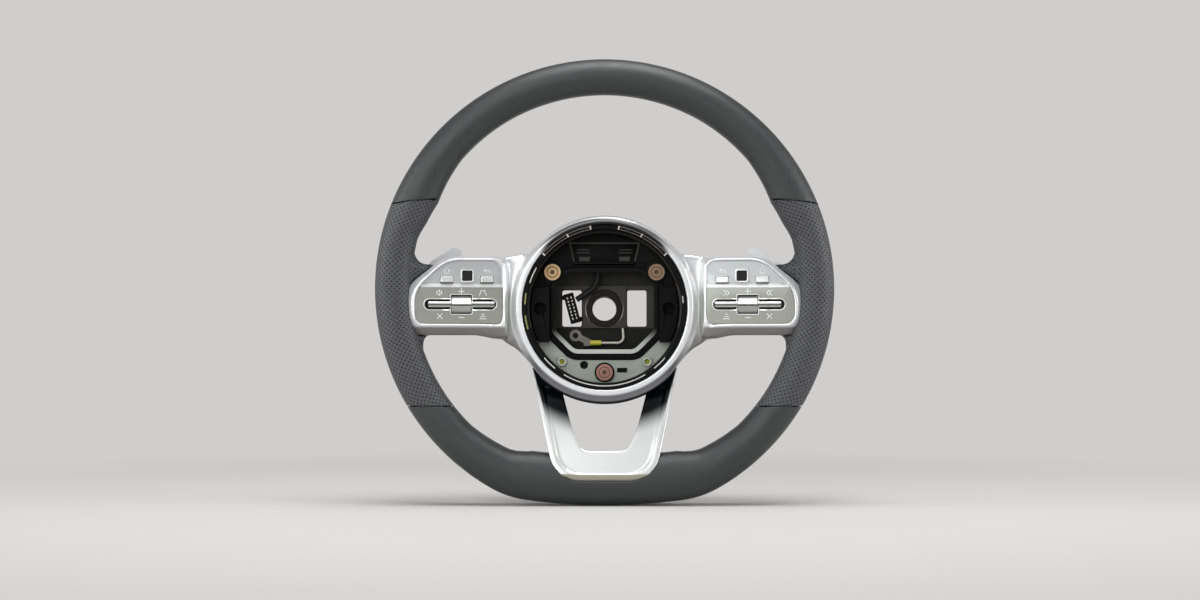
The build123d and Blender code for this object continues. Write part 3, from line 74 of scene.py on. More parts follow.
class Bench:
    """Modelling steps that the sub-assemblies share."""

    @staticmethod
    def clear() -> None:
        """Deselect everything in object mode, before a primitive is added."""
        if bpy.context.object and bpy.context.object.mode != "OBJECT":
            bpy.ops.object.mode_set(mode="OBJECT")
        bpy.ops.object.select_all(action="DESELECT")

    @staticmethod
    def take(*pieces: Piece) -> None:
        """Make these pieces the only selected ones, the first of them active."""
        Bench.clear()
        for piece in pieces:
            piece.select_set(True)
        bpy.context.view_layer.objects.active = pieces[0]

    @staticmethod
    def named(name: str) -> Piece:
        """Name the new active piece and its mesh."""
        piece = bpy.context.object
        piece.name = name
        piece.data.name = name
        return piece

    @staticmethod
    def link(name: str, data: bpy.types.ID) -> Piece:
        """Put an object with this mesh, light or lens into the scene."""
        piece = bpy.data.objects.new(name, data)
        bpy.context.collection.objects.link(piece)
        return piece

    @staticmethod
    def settle(piece: Piece) -> Piece:
        """Put a piece's place, turn and scale into its mesh."""
        Bench.take(piece)
        bpy.ops.object.transform_apply(location=True, rotation=True, scale=True)
        return piece

    @staticmethod
    def shift(piece: Piece, place: Place) -> Piece:
        """Move a piece's mesh by a place's distance from the origin."""
        piece.data.transform(Matrix.Translation(place))
        return piece

    @staticmethod
    def axes(place: Vector, along: Vector, across: Vector, out: Vector) -> Matrix:
        """A frame with its origin at a place and these three axes."""
        return Matrix.Translation(place) @ Matrix((along, across, out)).transposed().to_4x4()

    @staticmethod
    def modify(piece: Piece, kind: str, **settings: object) -> bpy.types.Modifier:
        """Add a live modifier with these settings.

        Args:
            piece: The piece to change.
            kind: Blender's name of the modifier type.
            settings: Values of the modifier's own properties.

        Returns:
            The modifier.
        """
        modifier = piece.modifiers.new(kind.lower(), kind)
        for key, value in settings.items():
            setattr(modifier, key, value)
        return modifier

    @staticmethod
    def apply(piece: Piece, kind: str, **settings: object) -> None:
        """Add a modifier with these settings and apply it."""
        Bench.take(piece)
        bpy.ops.object.modifier_apply(modifier=Bench.modify(piece, kind, **settings).name)

    @staticmethod
    @contextmanager
    def editing(piece: Piece, test: Callable[[Vector, Vector], bool] | None = None) -> Iterator[None]:
        """Open a piece in edit mode for a with block, and close it after the block.

        Args:
            piece: The piece to edit.
            test: Takes a face's centre and normal and picks the faces to select; all are without it.

        Yields:
            Nothing.
        """
        Bench.take(piece)
        if test:
            bpy.context.tool_settings.mesh_select_mode = (False, False, True)
        bpy.ops.object.mode_set(mode="EDIT")
        bpy.ops.mesh.select_all(action="DESELECT" if test else "SELECT")
        if test:
            bpy.ops.object.mode_set(mode="OBJECT")
            for face in piece.data.polygons:
                face.select = test(face.center, face.normal)
            bpy.ops.object.mode_set(mode="EDIT")
        yield
        bpy.ops.object.mode_set(mode="OBJECT")

    @staticmethod
    def face_out(piece: Piece) -> Piece:
        """Turn all faces of a piece outwards."""
        with Bench.editing(piece):
            bpy.ops.mesh.normals_make_consistent(inside=False)
        return piece

    @staticmethod
    def round_edges(piece: Piece, width: float) -> Piece:
        """Bevel all edges of a piece."""
        with Bench.editing(piece):
            bpy.ops.mesh.bevel(offset=width, segments=2, affect="EDGES")
        return piece

    @staticmethod
    def smooth(piece: Piece, degrees: float = 40.0) -> Piece:
        """Shade a piece smooth up to an edge angle."""
        Bench.take(piece)
        bpy.ops.object.shade_smooth_by_angle(angle=math.radians(degrees))
        return piece

    @staticmethod
    def block(name: str, size: Place, bevel: float) -> Piece:
        """A small moulded block at the origin.

        Args:
            name: Name of the piece.
            size: Its X, Y and Z lengths.
            bevel: Width of the bevel along its edges.

        Returns:
            The new piece.
        """
        Bench.clear()
        bpy.ops.mesh.primitive_cube_add(size=1.0, scale=size)
        return Bench.round_edges(Bench.settle(Bench.named(name)), bevel)

    @staticmethod
    def raise_band(piece: Piece, width: float, height: float, ease: float, corner: float = 0.0) -> Piece:
        """Turn a flat disc in the XY plane into a raised band along its edge.

        Args:
            piece: The disc, of one face.
            width: Width of the band.
            height: Its height along Z.
            ease: Width of the bevel along its edges.
            corner: How much of each corner is rounded off first.

        Returns:
            The same piece.
        """
        with Bench.editing(piece):
            if corner:
                bpy.ops.mesh.bevel(offset=corner, segments=5, affect="VERTICES")
                bpy.ops.mesh.select_all(action="SELECT")
            bpy.ops.mesh.inset(thickness=width)
            bpy.ops.mesh.delete(type="FACE")
            bpy.ops.mesh.select_all(action="SELECT")
            bpy.ops.mesh.extrude_region_move(TRANSFORM_OT_translate={"value": (0.0, 0.0, height)})
        Bench.face_out(piece)
        Bench.apply(piece, "BEVEL", width=ease, segments=2, limit_method="ANGLE")
        return Bench.smooth(piece)

    @staticmethod
    def hoop(name: str, half: Flat, corner: float, width: float, height: float) -> Piece:
        """A flat raised hoop in the XY plane, round an opening with rounded corners.

        Args:
            name: Name of the piece.
            half: Half the opening's X and Y lengths.
            corner: Radius of the opening's corners.
            width: Width of the hoop.
            height: Its height along Z.

        Returns:
            The new piece.
        """
        Bench.clear()
        bpy.ops.mesh.primitive_circle_add(vertices=48, radius=corner + width, fill_type="NGON")
        piece = Bench.named(name)
        for vertex in piece.data.vertices:
            vertex.co.x += math.copysign(half[0] - corner, vertex.co.x + 1e-9)
            vertex.co.y += math.copysign(half[1] - corner, vertex.co.y + 1e-9)
        return Bench.raise_band(piece, width, height, min(width, height) * EDGE_SHARE)

    @staticmethod
    def part(piece: Piece, gap: Flat) -> None:
        """Take out what lies between two places along X and close the cut ends.

        Args:
            piece: The piece to cut.
            gap: The two places.
        """
        for place in gap:
            with Bench.editing(piece):
                bpy.ops.mesh.bisect(plane_co=(place, 0.0, 0.0), plane_no=(1.0, 0.0, 0.0))
        with Bench.editing(piece, lambda centre, normal: gap[0] < centre.x < gap[1]):
            bpy.ops.mesh.delete(type="FACE")
            bpy.ops.mesh.select_all(action="SELECT")
            bpy.ops.mesh.fill_holes(sides=0)

    @staticmethod
    def join(pieces: list[Piece], name: str) -> Piece:
        """Join some pieces into one."""
        Bench.take(*pieces)
        bpy.ops.object.join()
        return Bench.named(name)

    @staticmethod
    def copies(model: Piece, name: str, places: list[Matrix]) -> Piece:
        """Copy a model piece to many places, each with its own mesh, and join the copies.

        Args:
            model: The piece modelled once at the origin; it is used up.
            name: Name of the joined piece.
            places: Where each copy goes.

        Returns:
            The joined piece.
        """
        made = []
        for place in places:
            mesh = model.data.copy()
            mesh.transform(place)
            made.append(Bench.link(name, mesh))
        bpy.data.objects.remove(model)
        return Bench.join(made, name)

    @staticmethod
    def copy_node(node: str, name: str) -> Piece:
        """Start a piece from a merged copy of a CAD node's mesh.

        Args:
            node: The CAD node.
            name: Name of the new piece.

        Returns:
            The new piece, with no split normals.
        """
        piece = Bench.link(name, bpy.data.objects[node].data.copy())
        with Bench.editing(piece):
            bpy.ops.mesh.remove_doubles(threshold=SAME_POINT)
        bpy.ops.mesh.customdata_custom_splitnormals_clear()
        return piece

    @staticmethod
    def soften(piece: Piece, voxel: float, rounds: int) -> None:
        """Blend a piece's edges by an even remesh of this grid and rounds of smoothing."""
        Bench.apply(piece, "REMESH", mode="VOXEL", voxel_size=voxel, use_smooth_shade=True)
        Bench.apply(piece, "SMOOTH", factor=0.5, iterations=rounds)

    @staticmethod
    def ease_edges(node: str, width: float) -> Piece:
        """Round a CAD node's sharp edges for the eye with live modifiers.

        Args:
            node: The CAD node.
            width: Width of the rounding.

        Returns:
            The node's object.
        """
        piece = bpy.data.objects[node]
        Bench.modify(piece, "WELD", merge_threshold=SAME_POINT)
        facets = 3 if width > WIDE_EASE else 2
        Bench.modify(
            piece, "BEVEL", width=width, segments=facets, limit_method="ANGLE", angle_limit=SHARP_ANGLE,
            harden_normals=False,
        )
        Bench.modify(piece, "WEIGHTED_NORMAL", keep_sharp=False)
        return piece


class Sheet:
    """Places and links the nodes of one shader tree."""

    def __init__(self, tree: bpy.types.NodeTree) -> None:
        """Keep the tree."""
        self.tree = tree

    def feed(self, node: bpy.types.Node, entries: dict[str | int, object]) -> bpy.types.Node:
        """Link or set a node's inputs.

        Args:
            node: The node.
            entries: A socket to link or a value to set, by the input's name or number.

        Returns:
            The same node.
        """
        for key, value in entries.items():
            if isinstance(value, Socket):
                self.tree.links.new(value, node.inputs[key])
            else:
                node.inputs[key].default_value = value
        return node

    def add(
        self, kind: str, entries: dict[str | int, object] | None = None, **settings: object
    ) -> bpy.types.Node:
        """Add a node, set its properties and feed its inputs.

        Args:
            kind: Short type name, without the ShaderNode part.
            entries: What goes into its inputs.
            settings: Values of the node's own properties.

        Returns:
            The new node.
        """
        node = self.tree.nodes.new("ShaderNode" + kind)
        for key, value in settings.items():
            setattr(node, key, value)
        return self.feed(node, entries or {})

    def maths(self, operation: str, *values: object) -> Socket:
        """One sum of sockets or numbers."""
        return self.add("Math", dict(enumerate(values)), operation=operation).outputs[0]

    def vector(self, operation: str, *values: object) -> Socket:
        """One sum of vectors, given as sockets or values."""
        node = self.add("VectorMath", dict(enumerate(values)), operation=operation)
        return node.outputs["Value" if operation in ("LENGTH", "DOT_PRODUCT") else "Vector"]

    def group(self, tree: bpy.types.NodeTree, **entries: object) -> bpy.types.NodeOutputs:
        """The outputs of a shared effect whose inputs are fed."""
        return self.add("Group", entries, node_tree=tree).outputs

    def ramp(self, value: Socket, low: object, high: object, rising: bool = True) -> Socket:
        """A smooth step from 0 to 1 between two values, or from 1 to 0 where it falls."""
        ends = {"From Min": low, "From Max": high, "To Min": float(not rising), "To Max": float(rising)}
        return self.add("MapRange", {"Value": value, **ends}, interpolation_type="SMOOTHSTEP").outputs[0]

    def blend(self, shade: Socket, colour: Colour, mask: Socket) -> Socket:
        """Lay a second colour over a shade where a mask is high."""
        entries = {"Factor": mask, "A": shade, "B": (*colour, 1.0)}
        return self.add("Mix", entries, data_type="RGBA").outputs["Result"]


class Effect:
    """Shader node groups that more than one finish uses, each built once."""

    @staticmethod
    def start(name: str, inputs: str, outputs: str) -> tuple[Sheet, bpy.types.NodeOutputs, bpy.types.Node]:
        """Begin a group with named sockets: vectors, colours, and numbers under any other name.

        Args:
            name: Name of the group.
            inputs: Names of its inputs.
            outputs: Names of its outputs.

        Returns:
            The sheet, the group's inner input sockets and the node that takes its results.
        """
        tree = bpy.data.node_groups.new(name, "ShaderNodeTree")
        kinds = {"Vector": "NodeSocketVector", "Colour": "NodeSocketColor"}
        for labels, way in ((inputs, "INPUT"), (outputs, "OUTPUT")):
            for label in labels.split():
                kind = kinds.get(label, "NodeSocketFloat")
                tree.interface.new_socket(name=label, in_out=way, socket_type=kind)
        return Sheet(tree), tree.nodes.new("NodeGroupInput").outputs, tree.nodes.new("NodeGroupOutput")

    @staticmethod
    @cache
    def tone_drift() -> bpy.types.NodeTree:
        """Slow lighter and darker patches over a colour."""
        sheet, given, result = Effect.start("tone_drift", "Vector Colour Scale Amount", "Colour")
        cloud = sheet.add("TexNoise", {"Vector": given["Vector"], "Scale": given["Scale"], "Detail": 4.0})
        swing = sheet.maths("MULTIPLY", sheet.maths("SUBTRACT", cloud.outputs[0], 0.5), given["Amount"])
        gain = sheet.maths("ADD", sheet.maths("MULTIPLY", swing, 2.0), 1.0)
        shade = sheet.add("VectorMath", {0: given["Colour"], "Scale": gain}, operation="SCALE")
        sheet.feed(result, {"Colour": shade.outputs[0]})
        return sheet.tree

    @staticmethod
    @cache
    def scuffs() -> bpy.types.NodeTree:
        """Roughness that wanders between two values, as handled surfaces show."""
        sheet, given, result = Effect.start("scuffs", "Vector Scale Low High", "Roughness")
        cloud = sheet.add("TexNoise", {
            "Vector": given["Vector"], "Scale": given["Scale"], "Detail": 6.0, "Roughness": 0.65,
        })
        spread = sheet.add("MapRange", {
            "Value": cloud.outputs[0], "From Min": 0.3, "From Max": 0.7,
            "To Min": given["Low"], "To Max": given["High"],
        })
        sheet.feed(result, {"Roughness": spread.outputs[0]})
        return sheet.tree

    @staticmethod
    @cache
    def grain() -> bpy.types.NodeTree:
        """A fine even grain as height, with rounded pits where Pits is high."""
        sheet, given, result = Effect.start("grain", "Vector Scale Pits", "Height")
        where = {"Vector": given["Vector"], "Scale": given["Scale"]}
        cloud = sheet.add("TexNoise", {**where, "Detail": 3.0})
        cells = sheet.add("TexVoronoi", where, feature="SMOOTH_F1")
        pitted = sheet.maths("MULTIPLY", cells.outputs["Distance"], given["Pits"])
        sheet.feed(result, {"Height": sheet.maths("ADD", cloud.outputs[0], pitted)})
        return sheet.tree

    @staticmethod
    @cache
    def hide() -> bpy.types.NodeTree:
        """Leather's pebbles and creases: a height, and a mask of the creases, where painted shade goes."""
        sheet, given, result = Effect.start("hide", "Vector Scale", "Height Crease")
        place = given["Vector"]
        wander = sheet.add("TexNoise", {"Vector": place, "Scale": 400.0})
        shifted = sheet.vector("MULTIPLY_ADD", wander.outputs["Color"], (0.0006, 0.0006, 0.0006), place)
        cells = sheet.add(
            "TexVoronoi", {"Vector": shifted, "Scale": given["Scale"]}, feature="DISTANCE_TO_EDGE"
        )
        pebble = sheet.ramp(cells.outputs["Distance"], 0.0, 0.22)
        finer = sheet.maths("MULTIPLY", given["Scale"], 2.6)
        fine = sheet.add("TexNoise", {"Vector": place, "Scale": finer, "Detail": 4.0})
        height = sheet.maths("ADD", pebble, sheet.maths("MULTIPLY", fine.outputs[0], 0.5))
        sheet.feed(result, {"Height": height, "Crease": sheet.maths("SUBTRACT", 1.0, pebble)})
        return sheet.tree

    @staticmethod
    @cache
    def punched() -> bpy.types.NodeTree:
        """Staggered rows of round punched holes on a flat map, as a mask."""
        sheet, given, result = Effect.start("punched", "Vector Pitch Hole", "Mask")
        rows = []
        for offset in (0.0, 0.5):
            scaled = sheet.vector("DIVIDE", given["Vector"], given["Pitch"])
            cell = sheet.vector("FRACTION", sheet.vector("ADD", scaled, (offset, offset, 0.0)))
            rows.append(sheet.vector("LENGTH", sheet.vector("SUBTRACT", cell, (0.5, 0.5, 0.0))))
        near = sheet.maths("MULTIPLY", sheet.maths("MINIMUM", *rows), given["Pitch"])
        core = sheet.maths("MULTIPLY", given["Hole"], 0.55)
        sheet.feed(result, {"Mask": sheet.ramp(near, core, given["Hole"], rising=False)})
        return sheet.tree


@dataclass(frozen=True)
class Fade:
    """A second colour that takes over along a direction, or round the column axis: painted shade, shadows,
    highlights and reflections on most finishes, and the brass's own tints.
    """

    colour: Colour
    first: float
    last: float
    along: Place = (0.0, 0.0, 1.0)
    radial: bool = False
    gate: Flat | None = None
    # Share of the shine that a painted shade takes away.
    dull: float = 0.0
    keep_lip: bool = False
    lip_slope: float = 0.286
    lip_start: float = 0.072
    lip_end: float = 0.0736

    def mask(self, sheet: Sheet, place: Socket) -> Socket:
        """How much of the second colour shows at a place.

        Args:
            sheet: The material's sheet.
            place: Object coordinates.

        Returns:
            A value from 0 to 1.
        """
        if self.radial:
            reach = sheet.vector("LENGTH", sheet.vector("MULTIPLY", place, (1.0, 0.0, 1.0)))
        else:
            reach = sheet.vector("DOT_PRODUCT", place, self.along)
        mask = self.step(sheet, reach, self.first, self.last)
        parts = sheet.add("SeparateXYZ", {0: place}).outputs
        if self.gate:
            mask = sheet.maths("MULTIPLY", mask, self.step(sheet, parts["Z"], *self.gate))
        if self.keep_lip:
            lean = sheet.maths("MULTIPLY", parts["Z"], self.lip_slope)
            edge = sheet.maths("SUBTRACT", sheet.maths("ABSOLUTE", parts["X"]), lean)
            mask = sheet.maths("MULTIPLY", mask, self.step(sheet, edge, self.lip_end, self.lip_start))
        return mask

    @staticmethod
    def step(sheet: Sheet, value: Socket, first: float, last: float) -> Socket:
        """A smooth step from 0 at the first value to 1 at the last."""
        return sheet.ramp(value, min(first, last), max(first, last), first < last)


@dataclass(frozen=True)
class Surface:
    """What every finish starts from: a colour that drifts and a gloss that wanders."""

    name: str
    colour: Colour
    gloss: Flat

    def start(self) -> tuple[bpy.types.Material, Sheet, bpy.types.Node]:
        """A new material, its sheet and its shader."""
        made = bpy.data.materials.new(self.name)
        made.use_nodes = True
        return made, Sheet(made.node_tree), made.node_tree.nodes["Principled BSDF"]

    def wear(self, sheet: Sheet, place: Socket, drift: Flat, scuff_scale: float) -> tuple[Socket, Socket]:
        """The drifting colour and the wandering roughness.

        Args:
            sheet: The material's sheet.
            place: Where both are read.
            drift: Amount and scale of the drift.
            scuff_scale: Scale of the wandering.

        Returns:
            The colour and the roughness.
        """
        amount, scale = drift
        colour = (*self.colour, 1.0)
        low, high = self.gloss
        tone = sheet.group(Effect.tone_drift(), Vector=place, Colour=colour, Scale=scale, Amount=amount)
        scuff = sheet.group(Effect.scuffs(), Vector=place, Scale=scuff_scale, Low=low, High=high)
        return tone[0], scuff[0]


@dataclass(frozen=True)
class Finish(Surface):
    """A moulded, painted or metal surface with grain."""

    metallic: float = 0.0
    drift: float = 0.06
    drift_scale: float = 40.0
    scuff_gain: float = 4.0
    grain_scale: float = 1600.0
    grain_depth: float = 0.00002
    pits: float = 0.0
    stretch: Place = (1.0, 1.0, 1.0)
    coat: float = 0.0
    coat_roughness: float = 0.1
    specular: float = 0.5
    fades: tuple[Fade, ...] = ()

    @cache
    def material(self) -> bpy.types.Material:
        """The finish's material, made at its first use."""
        made, sheet, shader = self.start()
        place = sheet.add("TexCoord").outputs["Object"]
        grid = sheet.add("Mapping", {"Vector": place, "Scale": self.stretch}).outputs[0]
        drift = (self.drift, self.drift_scale)
        shade, roughness = self.wear(sheet, grid, drift, self.drift_scale * self.scuff_gain)
        grain = sheet.group(Effect.grain(), Vector=grid, Scale=self.grain_scale, Pits=self.pits)
        bump = sheet.add("Bump", {"Height": grain[0], "Distance": self.grain_depth})
        sheet.feed(shader, {
            "Metallic": self.metallic, "Specular IOR Level": self.specular, "Coat Weight": self.coat,
            "Coat Roughness": self.coat_roughness, "Roughness": roughness, "Normal": bump.outputs[0],
        })
        # Lay each fade over the colour (painted shade, shadows, highlights and reflections, and the brass's
        # tints); a dull fade also takes shine off under its painted shade.
        for fade in self.fades:
            mask = fade.mask(sheet, place)
            shade = sheet.blend(shade, fade.colour, mask)
            if fade.dull:
                shine = sheet.maths("SUBTRACT", 1.0, sheet.maths("MULTIPLY", mask, fade.dull))
                sheet.feed(shader, {
                    "Specular IOR Level": sheet.maths("MULTIPLY", shine, self.specular),
                    "Coat Weight": sheet.maths("MULTIPLY", shine, self.coat),
                })
        sheet.feed(shader, {"Base Color": shade})
        return made


@dataclass(frozen=True)
class HideFinish(Surface):
    """Anthracite leather, plain or punched, whose holes follow the rim's own map."""

    # Darker colour laid into the grain's creases: painted shade.
    crease: Colour
    punched: bool = False
    specular: float = 0.55
    drift: Flat = (0.1, 28.0)
    scuff_scale: float = 90.0
    crease_share: float = 0.55
    pebble_scale: float = 900.0
    pebble_depth: float = 0.00006
    hole_pitch: float = 0.0044
    hole_radius: float = 0.00092
    hole_depth: float = 0.0005
    hole_colour: Colour = (0.004, 0.004, 0.004)
    map_name: str = "rim_map"
    map_scale: float = 10.0

    @cache
    def material(self) -> bpy.types.Material:
        """The leather's material, made at its first use."""
        made, sheet, shader = self.start()
        place = sheet.add("TexCoord").outputs["Object"]
        shade, roughness = self.wear(sheet, place, self.drift, self.scuff_scale)
        hide = sheet.group(Effect.hide(), Vector=place, Scale=self.pebble_scale)
        shade = sheet.blend(shade, self.crease, sheet.maths("MULTIPLY", hide["Crease"], self.crease_share))
        height = sheet.maths("MULTIPLY", hide["Height"], self.pebble_depth)
        if self.punched:
            flat = sheet.add("UVMap", uv_map=self.map_name).outputs[0]
            pitch, hole = self.hole_pitch * self.map_scale, self.hole_radius * self.map_scale
            holes = sheet.group(Effect.punched(), Vector=flat, Pitch=pitch, Hole=hole)["Mask"]
            shade = sheet.blend(shade, self.hole_colour, holes)
            height = sheet.maths("SUBTRACT", height, sheet.maths("MULTIPLY", holes, self.hole_depth))
        bump = sheet.add("Bump", {"Height": height, "Distance": 1.0})
        sheet.feed(shader, {
            "Base Color": shade, "Roughness": roughness, "Specular IOR Level": self.specular,
            "Normal": bump.outputs[0],
        })
        return made


# The third colour of each leather is the painted shade in its grain's creases.
LEATHER = HideFinish("anthracite_leather", (0.028, 0.0305, 0.031), (0.36, 0.46), (0.012, 0.013, 0.014))
PUNCHED = HideFinish(
    "punched_leather", (0.074, 0.075, 0.08), (0.46, 0.56), (0.034, 0.035, 0.038), punched=True,
    specular=0.42,
)
THREAD = Finish("sewing_thread", (0.016, 0.017, 0.018), (0.5, 0.65), grain_scale=3000.0, grain_depth=0.00006)
SILVER = Finish(
    "satin_silver", (0.72, 0.735, 0.745), (0.275, 0.285), metallic=0.5, drift=0.03, drift_scale=12.0,
    grain_scale=700.0, grain_depth=0.0000004, coat=0.2, coat_roughness=0.2,
)
# The ring's bands are painted: painted shade on its outer fairing below the middle and on the collars' lower
# bands, darker towards the bottom, a painted shadow along the ring's bottom edge, and painted shade on its
# inner top edge; the band beyond the ring gives the frames back their own colour.
BEZEL_SILVER = replace(SILVER, name="bezel_silver", colour=(0.78, 0.79, 0.8), fades=(
    Fade((0.36, 0.37, 0.34), 0.0752, 0.0775, radial=True, gate=(0.022, 0.006)),
    Fade((0.78, 0.79, 0.8), 0.08, 0.0816, radial=True),
    Fade((0.23, 0.225, 0.22), 0.078, 0.0835, radial=True, gate=(-0.0145, -0.0175)),
    Fade((0.23, 0.225, 0.22), 0.0745, 0.0775, radial=True, gate=(-0.02, -0.029)),
    Fade((0.19, 0.19, 0.2), 0.0702, 0.0722, radial=True, gate=(-0.025, -0.05)),
    Fade((0.006, 0.006, 0.007), 0.0757, 0.0766, radial=True, gate=(-0.045, -0.06)),
    Fade((0.15, 0.15, 0.16), 0.0723, 0.0713, radial=True, gate=(0.042, 0.06)),
    Fade((0.004, 0.004, 0.004), 0.0692, 0.0686, radial=True, gate=(0.04, 0.052)),
))
# A lighter, less metallic copy of the satin silver: painted light that lifts the paddles out of the rim's
# shade.
PADDLE_SILVER = replace(SILVER, name="paddle_silver", colour=(0.84, 0.87, 0.88), metallic=0.25)
# Painted shade over the chamfered lowest lip, and the ring's painted shadow with the painted reflection of
# its dark underside on the legs' tops; the outer lip is left bright and the shine is dulled under the shadow.
TRIM_SILVER = replace(SILVER, name="trim_silver", colour=(0.74, 0.765, 0.755), metallic=0.45, fades=(
    Fade((0.4, 0.39, 0.31), -0.1325, -0.1341),
    Fade((0.003, 0.0035, 0.005), 0.107, 0.09, radial=True, keep_lip=True, dull=0.8),
))
# A painted highlight along the ledge between the fields, and a lighter upper field painted for the light it
# catches.
PANEL_SILVER = Finish(
    "panel_silver", (0.33, 0.34, 0.305), (0.28, 0.36), metallic=0.6, drift=0.05, drift_scale=60.0,
    grain_scale=3600.0, grain_depth=0.000004, stretch=(0.15, 1.0, 1.0),
    fades=(Fade((0.86, 0.88, 0.87), 0.0152, 0.0164), Fade((0.52, 0.55, 0.55), 0.0178, 0.0187)),
)
HOOP_SILVER = Finish(
    "hoop_silver", (0.84, 0.85, 0.84), (0.18, 0.26), metallic=0.5, drift=0.03, drift_scale=20.0,
    grain_scale=700.0, grain_depth=0.0000004,
)
# A painted shadow along the keys' lower edge.
KEY_SILVER = replace(HOOP_SILVER, name="key_silver", fades=(Fade((0.22, 0.22, 0.21), 0.0203, 0.0197),))
# Painted reflection on the rocker bars: bright top, dark middle and a mid-grey lower edge.
BAR_SILVER = replace(HOOP_SILVER, name="bar_silver", fades=(
    Fade((0.12, 0.125, 0.12), 0.0027, 0.0021), Fade((0.45, 0.46, 0.45), 0.0012, 0.0006),
))
# Painted reflection on the roller: a darkened upper half, a dark line across the middle and a lighter lower
# half.
ROLLER_SILVER = replace(
    HOOP_SILVER, name="roller_silver", colour=(0.36, 0.365, 0.36), gloss=(0.3, 0.38),
    fades=(Fade((0.06, 0.06, 0.06), 0.0022, 0.0016), Fade((0.42, 0.43, 0.42), 0.001, 0.0004)),
)
BLACK_MOULDED = Finish(
    "moulded_black", (0.009, 0.009, 0.01), (0.4, 0.56), drift=0.12, grain_scale=2200.0,
    grain_depth=0.00003, pits=0.8, specular=0.35,
)
# A darker, less shiny copy of the moulded black: painted shade for the black parts deep in the hub well.
WELL_BLACK = Finish(
    "well_black", (0.003, 0.003, 0.0033), (0.35, 0.55), drift=0.2, grain_scale=2200.0,
    grain_depth=0.00003, pits=0.5, specular=0.1,
)
GLOSS_BLACK = Finish(
    "touch_black", (0.004, 0.004, 0.005), (0.05, 0.12), drift=0.05, grain_scale=900.0,
    grain_depth=0.000001, coat=0.4, coat_roughness=0.04, specular=0.3,
)
# A painted highlight on the lip's front, painted shade over the plate's upper part under the ring with its
# shine dulled, and near-black painted shade at its top.
PLATE_GREY = Finish(
    "coated_plate", (0.42, 0.46, 0.405), (0.4, 0.55), metallic=0.25, drift=0.14, drift_scale=60.0,
    grain_scale=1300.0, grain_depth=0.00003, pits=0.3, specular=0.3,
    fades=(
        Fade((0.58, 0.625, 0.57), -0.0236, -0.0244, along=(0.0, 1.0, 0.0)),
        Fade((0.006, 0.0065, 0.006), -0.034, -0.016, dull=0.6),
        Fade((0.003, 0.003, 0.003), 0.0532, 0.0542),
    ),
)
TRAY_GREY = Finish(
    "tray_grey", (0.05, 0.053, 0.049), (0.45, 0.6), drift=0.15, grain_scale=1300.0, specular=0.3,
)
DARK_CASTING = Finish(
    "dark_casting", (0.055, 0.05, 0.042), (0.45, 0.62), metallic=0.3, drift=0.3, drift_scale=45.0,
    grain_scale=1100.0, grain_depth=0.00008, pits=0.6, specular=0.3,
    fades=(Fade((0.008, 0.008, 0.007), -0.0158, -0.0164), Fade((0.02, 0.02, 0.017), 0.0188, 0.0194)),
)
BOSS_BROWN = Finish("boss_brown", (0.012, 0.009, 0.006), (0.4, 0.6), metallic=0.4, drift=0.3, specular=0.3)
BRIGHT_STEEL = Finish(
    "bright_steel", (0.5, 0.5, 0.48), (0.25, 0.4), metallic=1.0, drift=0.12, drift_scale=80.0,
    grain_scale=2500.0, grain_depth=0.00001, stretch=(1.0, 0.2, 1.0),
)
CLIP_STEEL = Finish("clip_steel", (0.62, 0.62, 0.58), (0.25, 0.4), metallic=0.4, drift=0.25, drift_scale=90.0)
CLIP_OLIVE = Finish("clip_olive", (0.26, 0.26, 0.08), (0.3, 0.45), drift=0.3, drift_scale=200.0)
BRASS = Finish(
    "head_brass", (0.62, 0.42, 0.22), (0.28, 0.45), metallic=0.6, drift=0.3, drift_scale=500.0,
    grain_scale=1800.0, grain_depth=0.00003, pits=0.3,
    fades=(
        Fade((0.3, 0.2, 0.13), 0.0, 0.02, along=(1.0, 0.0, 0.0)), Fade((0.38, 0.2, 0.16), -0.03, -0.045),
        # Painted shade in the sockets and grooves and on the heads' sides; the two fades above are the heads'
        # own tints.
        Fade((0.13, 0.09, 0.055), -0.0274, -0.0269, along=(0.0, 1.0, 0.0)),
    ),
)
RUBBER = Finish("black_rubber", (0.008, 0.008, 0.008), (0.6, 0.75), grain_scale=1800.0, specular=0.25)
CRIMP_YELLOW = Finish("crimp_yellow", (0.72, 0.68, 0.06), (0.25, 0.4), drift=0.1, drift_scale=150.0)
PALE_WIRE = Finish("pale_wire", (0.8, 0.79, 0.7), (0.35, 0.5), drift=0.08, drift_scale=200.0)
LOOM_TAPE = Finish(
    "loom_tape", (0.006, 0.006, 0.007), (0.45, 0.6), grain_scale=900.0, grain_depth=0.0001,
    stretch=(1.0, 1.0, 3.0), specular=0.3,
)
TINNED = Finish("tinned_lug", (0.2, 0.19, 0.165), (0.3, 0.5), metallic=0.5, drift=0.3, drift_scale=160.0)
NYLON = Finish("pale_nylon", (0.55, 0.6, 0.55), (0.35, 0.5), drift=0.1, drift_scale=200.0)
PEG_GREEN = Finish("peg_green", (0.34, 0.36, 0.03), (0.35, 0.5), drift=0.4, drift_scale=600.0)
GREEN_BOARD = Finish("green_board", (0.02, 0.11, 0.05), (0.25, 0.4), drift=0.2, drift_scale=300.0)
ICON_PALE = Finish("icon_pale", (0.86, 0.88, 0.87), (0.35, 0.5), drift=0.05)
CONTACT_PALE = Finish("contact_pale", (0.82, 0.82, 0.78), (0.3, 0.45), drift=0.08, drift_scale=300.0)


def dress(piece: Piece, finish: Finish | HideFinish) -> Piece:
    """Give every slot of a piece one finish.

    Args:
        piece: The piece or CAD node.
        finish: Its finish.

    Returns:
        The same piece.
    """
    material = finish.material()
    if not piece.material_slots:
        piece.data.materials.append(material)
    for slot in piece.material_slots:
        slot.material = material
    return piece


